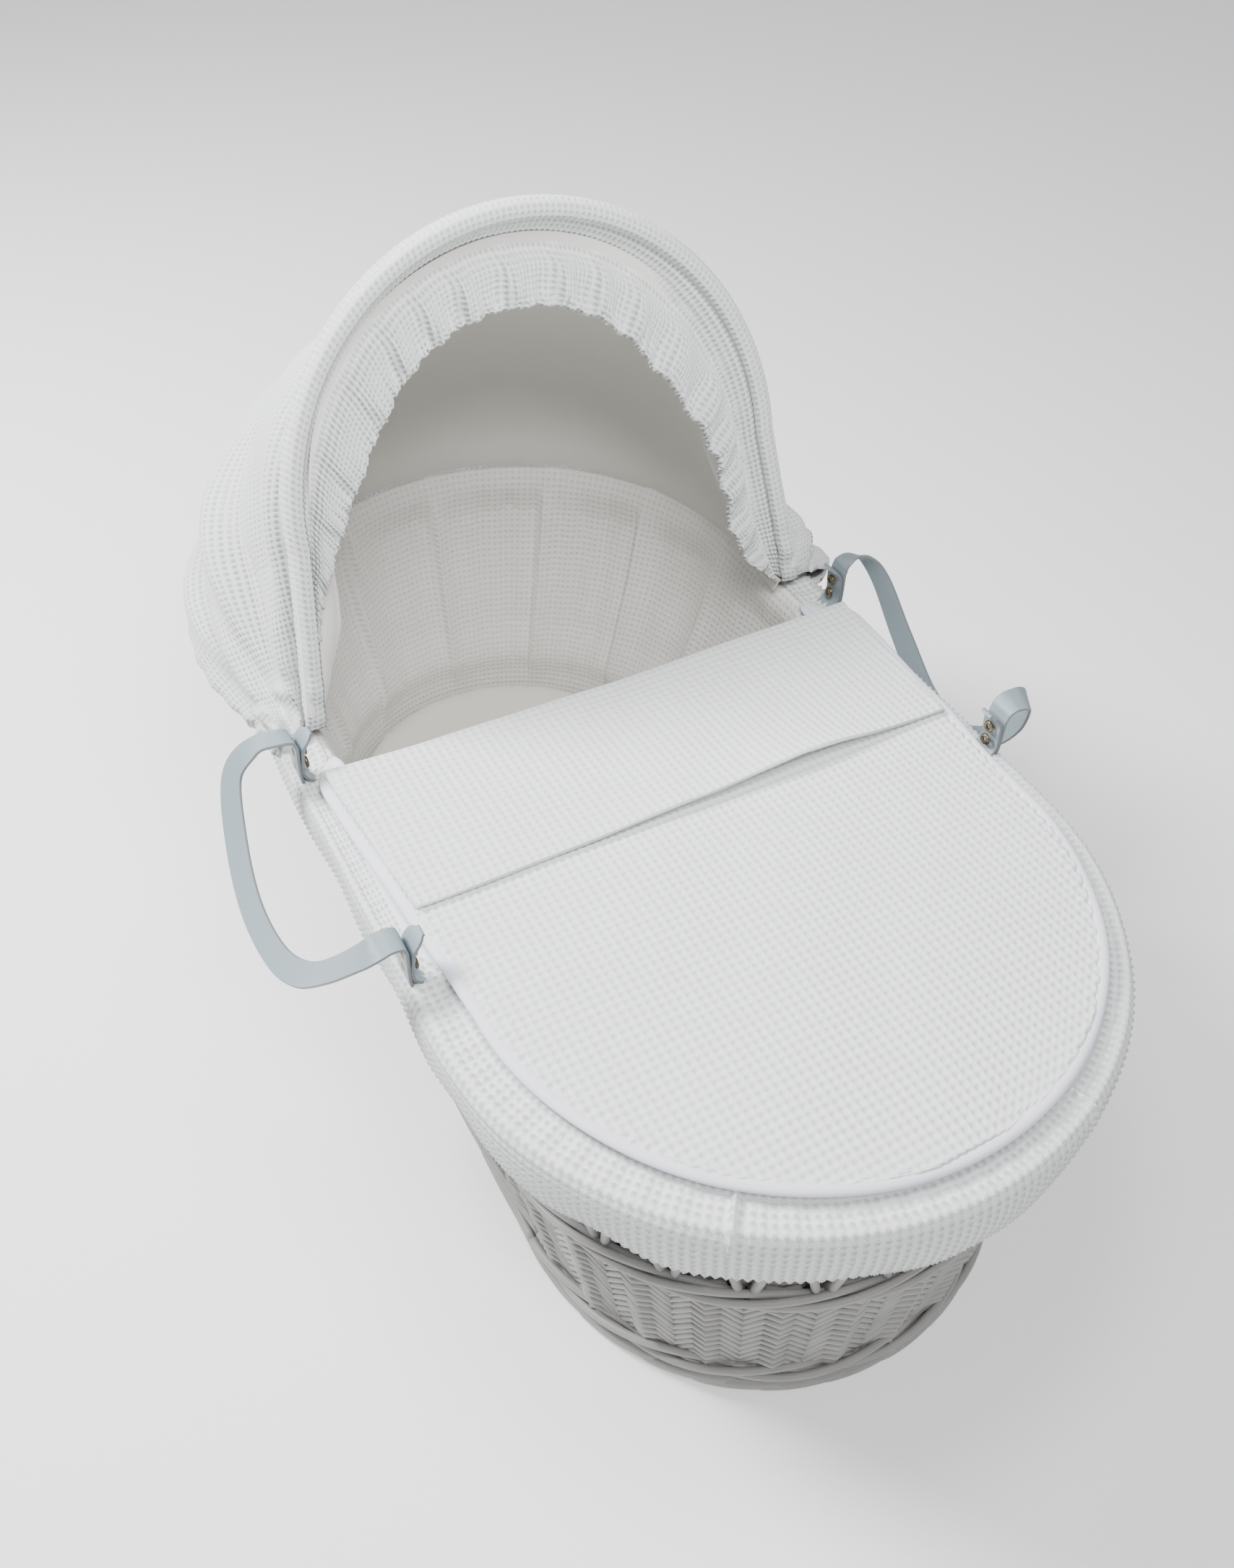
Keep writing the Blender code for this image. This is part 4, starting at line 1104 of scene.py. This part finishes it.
def hood_shell():
    """The hood's cloth: round the hoop, back over the head end and gathered into an elastic hem."""
    half_cell = sizes().cell / 2
    columns, rows = 376, 124
    t = np.linspace(0, 1, columns + 1)
    b = np.linspace(0, 1, rows + 1)[1:]
    grid_t, grid_b = np.meshgrid(t, b, indexing="ij")
    crown = hood_surface(grid_t, grid_b)
    crown += surface_normals(crown) * hood_drape(grid_t, grid_b)[..., None]
    channel = hoop_channel(t, np.linspace(165, -85, 15))
    base = np.concatenate([channel, crown], axis=1)
    u = (np.arange(columns + 1) * half_cell)[:, None] + np.zeros(base.shape[1])[None, :]
    v = (np.arange(base.shape[1]) * half_cell)[None, :] + np.zeros(columns + 1)[:, None]
    normal = surface_normals(base)
    face = base - normal * pits(u, v)[..., None]
    picks = np.unique(np.linspace(0, base.shape[1] - 1, 22).astype(int))
    back = base[:, picks] - normal[:, picks] * 0.0022
    return cased_sheet("hood_shell", face, back, np.stack([u, v], axis=2), material_for("waffle"))


def hood_lining():
    """The plain lining inside the hood: it hangs from the hoop to the top of the liner."""
    t = np.linspace(0.004, 0.996, 241)
    b = np.linspace(0.03, 1, 61)
    grid_t, grid_b = np.meshgrid(t, b, indexing="ij")
    base = hood_surface(grid_t, grid_b, -0.0110, RIM_HEIGHT - DRESSING_TOP + 0.009)
    normal = surface_normals(base)
    turn = grid_t * 2 * np.pi
    folds = 0.0030 * np.sin(turn * 4 + 2.4 * grid_b + 1) * np.sin(np.pi * grid_b)
    slack = hood_drape(grid_t, grid_b) * np.clip((0.55 - grid_b) / 0.3, 0, 1)
    drape = slack + folds - 0.0060 - 0.006 * np.sin(np.pi * grid_b)
    face = base + normal * (drape * np.clip((1 - grid_b) / 0.1, 0, 1))[..., None]
    back = (face - normal * 0.0008)[:, ::4]
    uv = np.stack([grid_t, grid_b * 0.36], axis=2)
    return cased_sheet("hood_lining", face, back, uv, material_for("lining"))


# The frill's inner edge in the hoop's plane, from its left foot to its right: (across, up).
FRILL_EDGE = ((-0.197, 0.004), (-0.193, 0.030), (-0.181, 0.066), (-0.155, 0.117), (-0.123, 0.168),
              (-0.086, 0.215), (-0.043, 0.240), (0.0, 0.245), (0.035, 0.238), (0.070, 0.217), (0.106, 0.172),
              (0.136, 0.120), (0.145, 0.080), (0.150, 0.048), (0.164, 0.020), (0.184, 0.004))


def hood_frill():
    """The gathered facing inside the hoop, pleated towards its elastic edge."""
    columns, rows = 900, 48
    t = np.linspace(0.003, 0.997, columns + 1)
    b = np.linspace(0, 1, rows + 1)
    outer_across, outer_up = arch(t, inset=0.0085)
    edge = smooth_line(np.array(FRILL_EDGE), columns + 1)
    across = outer_across[:, None] * (1 - b) + edge[:, 0:1] * b
    up = outer_up[:, None] * (1 - b) + edge[:, 1:2] * b
    turn = (t * 2 * np.pi)[:, None]
    depth = 0.35 + 0.65 * np.sin(np.pi * t)[:, None]
    recess = -0.0210 * depth * np.exp(-((b - 0.26) / 0.16) ** 2)[None, :]
    pleats = sizes().frill_pleats
    phase = turn * pleats / 2 + 1.5 * np.sin(turn * 2.0 + 0.4) + 0.8 * np.sin(turn * 5.0)
    where = 0.35 + 0.65 * np.clip(np.sin(np.pi * (t - 0.18) / 1.1), 0, 1)[:, None]
    strength = np.clip((b - 0.22) / 0.5, 0, 1)[None, :] ** 0.8 * where
    wave = np.sin(phase + 0.6 * np.sin(phase) + 0.9 * (1 - b)[None, :])
    fold = np.sign(wave) * np.abs(wave) ** 0.75
    edge_hold = 1 - 0.55 * np.clip((b - 0.82) / 0.18, 0, 1)[None, :]
    pleat = 0.0082 * strength * fold * edge_hold
    fine = 0.0014 * np.sin(phase * 3 + 1.7 * np.sin(turn * 9)) * np.clip((b - 0.55) / 0.3, 0, 1)[None, :]
    tight = 0.0013 * np.sin(phase * 7 + 2 * np.sin(turn * 13)) * np.clip((b - 0.84) / 0.1, 0, 1)[None, :]
    curl = -0.0050 * np.clip((b - 0.93) / 0.07, 0, 1)[None, :] ** 2
    ends = np.clip(np.minimum(t, 1 - t) / 0.03, 0, 1)[:, None]
    forward = 0.0025 + recess + (pleat + fine + tight) * ends + curl
    ripple = 0.0009 * np.sin(phase * 2 + 0.6) * np.clip((b - 0.8) / 0.2, 0, 1)[None, :]
    base = in_hoop_plane(across, up + ripple, forward)
    u = np.broadcast_to((t * 1.15)[:, None], across.shape)
    v = np.broadcast_to(b * 0.085, across.shape)
    normal = -surface_normals(base)
    face = base - normal * pits(u, v)[..., None]
    back = (base - normal * 0.0022)[:, ::6]
    return cased_sheet("hood_frill_cloth", face, back, np.stack([u, v], axis=2), material_for("waffle"))


class BASKET_OT_hood(bpy.types.Operator):
    """Cut the hood's shell, lining and frill, and gather them on their elastic"""
    bl_idname = "basket.hood"
    bl_label = "Hood"

    def execute(self, context):
        shell = hood_shell()
        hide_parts("hood_front_panel", "hood_upper_panel", "hood_middle_panel", "hood_back_panel",
                    "hood_skirt")
        lining = hood_lining()
        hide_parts("hood_back_panel")
        frill = hood_frill()
        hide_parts("hood_frill")
        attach(frill, "hood")
        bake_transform(shell)
        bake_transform(lining)
        show_node("hood_hoop", "wire")
        return {"FINISHED"}


# ---- Straps -----------------------------------------------------------------------------------
# Each free length from its head end to its foot end: (share of the way, out from the rim, up).
LEFT_STRAP = ((0, 0, 0), (0, 0.008, 0.002), (-0.03, 0.022, -0.004), (-0.04, 0.040, -0.026),
              (0.14, 0.052, -0.055), (0.36, 0.058, -0.072), (0.58, 0.056, -0.074), (0.74, 0.048, -0.062),
              (0.88, 0.036, -0.034), (0.99, 0.020, -0.005), (1, 0.008, 0.001), (1, 0, 0))
RIGHT_STRAP = ((0, 0, 0), (0, 0.008, 0.003), (0.03, 0.018, 0.001), (0.10, 0.026, -0.014),
               (0.25, 0.032, -0.050), (0.42, 0.040, -0.088), (0.62, 0.044, -0.100), (0.80, 0.042, -0.076),
               (0.92, 0.040, -0.040), (0.99, 0.024, -0.004), (1, 0.008, 0.003), (1, 0, 0))
STRAP_FACING = {"left": (0, 0.75, 0.65), "right": (0, 0.3, 1.0)}
STRAP_NECK_OUT = 0.0137
STRAP_STAND = 0.0262
STRAP_BEND_RADIUS = 0.010
STRAP_GAP = 0.0004


def strap_end_route(side, x):
    """A fastened end from its tip: down inside the neck, round the rim and up to the swing line."""
    sign = -1 if side == "left" else 1
    layer = sizes().strap_thickness / 2 + STRAP_GAP
    around = RIM_RADIUS + 0.0008 + sizes().strap_thickness / 2
    outer, inner = STRAP_NECK_OUT + layer, STRAP_NECK_OUT - layer
    stand = DRESSING_TOP + STRAP_STAND
    neck = DRESSING_TOP + 0.0016
    path = [(inner - 0.0095, stand + 0.0085), (inner - 0.0048, stand + 0.0050), (inner - 0.0012, stand),
            (inner, stand - 0.006), (inner, neck)]
    for turn in range(-240, 21, 20):
        turn = math.radians(turn)
        path.append((around * math.cos(turn), RIM_HEIGHT + around * math.sin(turn)))
    path.append((outer, neck))
    path.append((outer, stand))
    bend = math.radians(22)
    path.append((outer + STRAP_BEND_RADIUS * (1 - math.cos(bend)),
                 stand + STRAP_BEND_RADIUS * math.sin(bend)))
    return [(x, sign * (RIM_HALF_WIDTH + out), z) for out, z in path]


def strap(side, route):
    """One whole strap: a fastened end, the free length and the other fastened end, in one band."""
    sign = -1 if side == "left" else 1
    swing = SWING[side]
    first, last = STRAP_X
    free = [(first + (last - first) * share, swing.y + sign * out, swing.z + up) for share, out, up in route]
    head = strap_end_route(side, first)
    foot = strap_end_route(side, last)[::-1]
    line = smooth_line(np.array(head + free + foot), 520)
    along = np.gradient(line, axis=0)
    along /= np.linalg.norm(along, axis=1, keepdims=True)
    head_length = np.sum(np.linalg.norm(np.diff(np.array(head), axis=0), axis=1))
    spacing = np.mean(np.linalg.norm(np.diff(line, axis=0), axis=1))
    place = np.arange(len(line)) * spacing
    total = place[-1]
    share = np.clip((place - head_length) / (total - 2 * head_length), 0, 1)
    turned = np.sin(np.pi * share) ** 0.7
    facing = np.array(STRAP_FACING[side])
    blend_in = np.clip(turned, 0, 1)[:, None]
    ends = np.where(share <= 0.5, 1.0, -1.0)[:, None] * np.array([1.0, 0, 0])
    across = ends * (1 - blend_in) + facing * blend_in
    across -= along * np.sum(across * along, axis=1, keepdims=True)
    norm = np.linalg.norm(across, axis=1, keepdims=True)
    across = smooth_rows(across / np.maximum(norm, 1e-6), 9)
    across -= along * np.sum(across * along, axis=1, keepdims=True)
    across /= np.linalg.norm(across, axis=1, keepdims=True)
    face = np.cross(across, along)
    half, thick, soft = sizes().strap_width / 2, sizes().strap_thickness / 2, 0.0006
    corners = np.array([(-half + soft, -thick), (half - soft, -thick), (half, -thick + soft),
                        (half, thick - soft), (half - soft, thick), (-half + soft, thick),
                        (-half, thick - soft), (-half, -thick + soft), (-half + soft, -thick)])
    narrow = np.clip(np.minimum(place, total - place) / half, 0.12, 1)
    narrow = np.sqrt(1 - (1 - narrow) ** 2)
    points = (line[:, None, :] + across[:, None, :] * (corners[None, :, 0] * narrow[:, None])[..., None]
              + face[:, None, :] * corners[None, :, 1, None])
    steps = np.linalg.norm(np.diff(corners, axis=0, prepend=corners[:1]), axis=1)
    uv = np.stack(np.broadcast_arrays(place[:, None], np.cumsum(steps)[None, :]), axis=2)
    mesh = grid_mesh(f"{side}_carry_strap", points, uv, closed_b=True)
    close_holes(mesh)
    edge_mark(mesh)
    piece = finish_object(f"{side}_carry_strap", mesh, material_for("strap"), smooth=True)
    mesh.set_sharp_from_angle(angle=math.radians(40))
    return piece


def smooth_rows(rows, reach):
    kernel = np.ones(2 * reach + 1) / (2 * reach + 1)
    padded = np.pad(rows, ((reach, reach), (0, 0)), mode="edge")
    return np.stack([np.convolve(padded[:, i], kernel, mode="valid") for i in range(rows.shape[1])], axis=1)


def edge_mark(mesh):
    """An attribute that is 1 on a band's narrow cut faces and 0 on its broad ones."""
    mark = mesh.attributes.new("cut_edge", "FLOAT", "FACE")
    areas = np.empty(len(mesh.polygons))
    mesh.polygons.foreach_get("area", areas)
    mark.data.foreach_set("value", np.where(areas < np.median(areas) * 2.5, 1.0, 0.0))


# A stud's turned outlines, as shares of its radius and of its height.
STUD_PROFILES = {
    "cap": ((0, 1.0), (0.45, 0.96), (0.8, 0.72), (1.0, 0.25), (1.0, 0.0), (0.55, 0.0)),
    "socket": ((0.42, 0.0), (1.0, 0.0), (1.0, 0.45), (0.86, 0.9), (0.66, 1.0), (0.46, 0.7)),
}


def press_stud(side, end, index):
    """A press stud: a domed cap outside the strap and a ring socket inside it."""
    node = f"{side}_{end}_stud_{index}"
    sign = -1 if side == "left" else 1
    for part, profile in STUD_PROFILES.items():
        source = node if part == "cap" else node + "_socket"
        low, high = (Vector(corner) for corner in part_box(source))
        radius = (high.x - low.x) / 2
        thickness = 0.0018
        facing = sign if part == "cap" else -sign
        face_y = (high.y if facing > 0 else low.y) - facing * thickness
        bm = bmesh.new()
        ring = [bm.verts.new((share * radius, 0, rise * thickness)) for share, rise in profile]
        edges = [bm.edges.new(pair) for pair in zip(ring, ring[1:])]
        if part == "socket":
            edges.append(bm.edges.new((ring[-1], ring[0])))
        bmesh.ops.spin(bm, geom=ring + edges, cent=(0, 0, 0), axis=(0, 0, 1), angle=2 * math.pi, steps=24,
                       use_merge=True)
        bmesh.ops.remove_doubles(bm, verts=bm.verts, dist=1e-6)
        bmesh.ops.holes_fill(bm, edges=[edge for edge in bm.edges if edge.is_boundary], sides=0)
        turn = Matrix.Rotation(-facing * math.pi / 2, 4, "X")
        place = Matrix.Translation(((low.x + high.x) / 2, face_y, (low.z + high.z) / 2)) @ turn
        bmesh.ops.transform(bm, matrix=place, verts=bm.verts)
        bmesh.ops.recalc_face_normals(bm, faces=bm.faces)
        mesh = bpy.data.meshes.new(f"{node}_{part}")
        bm.to_mesh(mesh)
        bm.free()
        piece = finish_object(f"{node}_{part}", mesh, material_for("brass"))
        mesh.set_sharp_from_angle(angle=math.radians(45))
        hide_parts(source)
        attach(piece, "basket")


class BASKET_OT_straps(bpy.types.Operator):
    """Cut the two carry straps and set their press studs"""
    bl_idname = "basket.straps"
    bl_label = "Carry straps"

    def execute(self, context):
        for side, route in (("left", LEFT_STRAP), ("right", RIGHT_STRAP)):
            band = strap(side, route)
            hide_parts(f"{side}_strap", f"{side}_head_strap_end", f"{side}_foot_strap_end")
            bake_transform(band)
            for end in ("head", "foot"):
                for index in (1, 2):
                    press_stud(side, end, index)
        return {"FINISHED"}


# ---- Stage ------------------------------------------------------------------------------------
CAMERA_PLACE = (0.608, -0.363, 0.915)
CAMERA_TURN = (45.394, -1.711, 61.44)
CAMERA_LENS = 30.9


def area_light(name, place, aim, energy, size):
    data = bpy.data.lights.new(name, "AREA")
    data.energy = energy
    data.shape = "DISK"
    data.size = size
    lamp = bpy.data.objects.new(name, data)
    lamp.visible_camera = False
    bpy.context.collection.objects.link(lamp)
    lamp.location = place
    lamp.rotation_euler = (Vector(aim) - Vector(place)).to_track_quat("-Z", "Y").to_euler()


class BASKET_OT_stage(bpy.types.Operator):
    """Lay the floor, hang the lights and set the camera"""
    bl_idname = "basket.stage"
    bl_label = "Stage"

    def execute(self, context):
        scene = context.scene
        bm = bmesh.new()
        bmesh.ops.create_grid(bm, x_segments=1, y_segments=1, size=6)
        mesh = bpy.data.meshes.new("studio_floor")
        bm.to_mesh(mesh)
        bm.free()
        material, shader = new_material("studio_floor_paper", roughness=0.9, base_color=linear("#f4f4f4"))
        # A little light of its own keeps the paper pale.
        shader.inputs["Emission Color"].default_value = linear("#ffffff")
        shader.inputs["Emission Strength"].default_value = 0.32
        floor = finish_object("studio_floor", mesh, material, smooth=False)
        floor.location.z = -0.0005
        world = bpy.data.worlds.new("studio")
        world.use_nodes = True
        world.node_tree.nodes["Background"].inputs["Color"].default_value = linear("#f7f8fa")
        world.node_tree.nodes["Background"].inputs["Strength"].default_value = 0.46
        scene.world = world
        area_light("key_light", (-1.1, -1.2, 1.9), (0, 0, 0.2), 112, 0.7)
        area_light("mouth_light", (1.1, -0.3, 1.9), (-0.3, 0, 0.3), 20, 0.6)
        area_light("hood_light", (0.22, -0.08, 1.0), (-0.36, 0, 0.22), 5, 0.3)
        camera = bpy.data.cameras.new("camera")
        camera.lens = CAMERA_LENS
        camera.sensor_width = 36
        camera.sensor_fit = "AUTO"
        view = bpy.data.objects.new("camera", camera)
        context.collection.objects.link(view)
        view.location = CAMERA_PLACE
        view.rotation_euler = [math.radians(angle) for angle in CAMERA_TURN]
        scene.camera = view
        return {"FINISHED"}


class BASKET_PT_panel(bpy.types.Panel):
    """The basket's pieces, sizes and colours"""
    bl_label = "Moses Basket"
    bl_idname = "BASKET_PT_panel"
    bl_space_type = "VIEW_3D"
    bl_region_type = "UI"
    bl_category = "Basket"

    def draw(self, context):
        for group in (context.scene.basket_sizes, context.scene.basket_colours):
            for key in group.__annotations__:
                self.layout.prop(group, key)
        for operator in OPERATORS:
            self.layout.operator(operator.bl_idname)


OPERATORS = (BASKET_OT_stage, BASKET_OT_willow, BASKET_OT_dressing, BASKET_OT_coverlet, BASKET_OT_hood,
             BASKET_OT_straps)
CLASSES = (BasketSizes, BasketColours, *OPERATORS, BASKET_PT_panel)


def register():
    for item in CLASSES:
        bpy.utils.register_class(item)
    bpy.types.Scene.basket_sizes = bpy.props.PointerProperty(type=BasketSizes)
    bpy.types.Scene.basket_colours = bpy.props.PointerProperty(type=BasketColours)


def unregister():
    del bpy.types.Scene.basket_colours
    del bpy.types.Scene.basket_sizes
    for item in reversed(CLASSES):
        bpy.utils.unregister_class(item)


def main():
    register()
    bpy.ops.basket.stage()
    bpy.ops.basket.willow()
    bpy.ops.basket.dressing()
    bpy.ops.basket.coverlet()
    bpy.ops.basket.hood()
    bpy.ops.basket.straps()


if __name__ == "__main__":
    main()
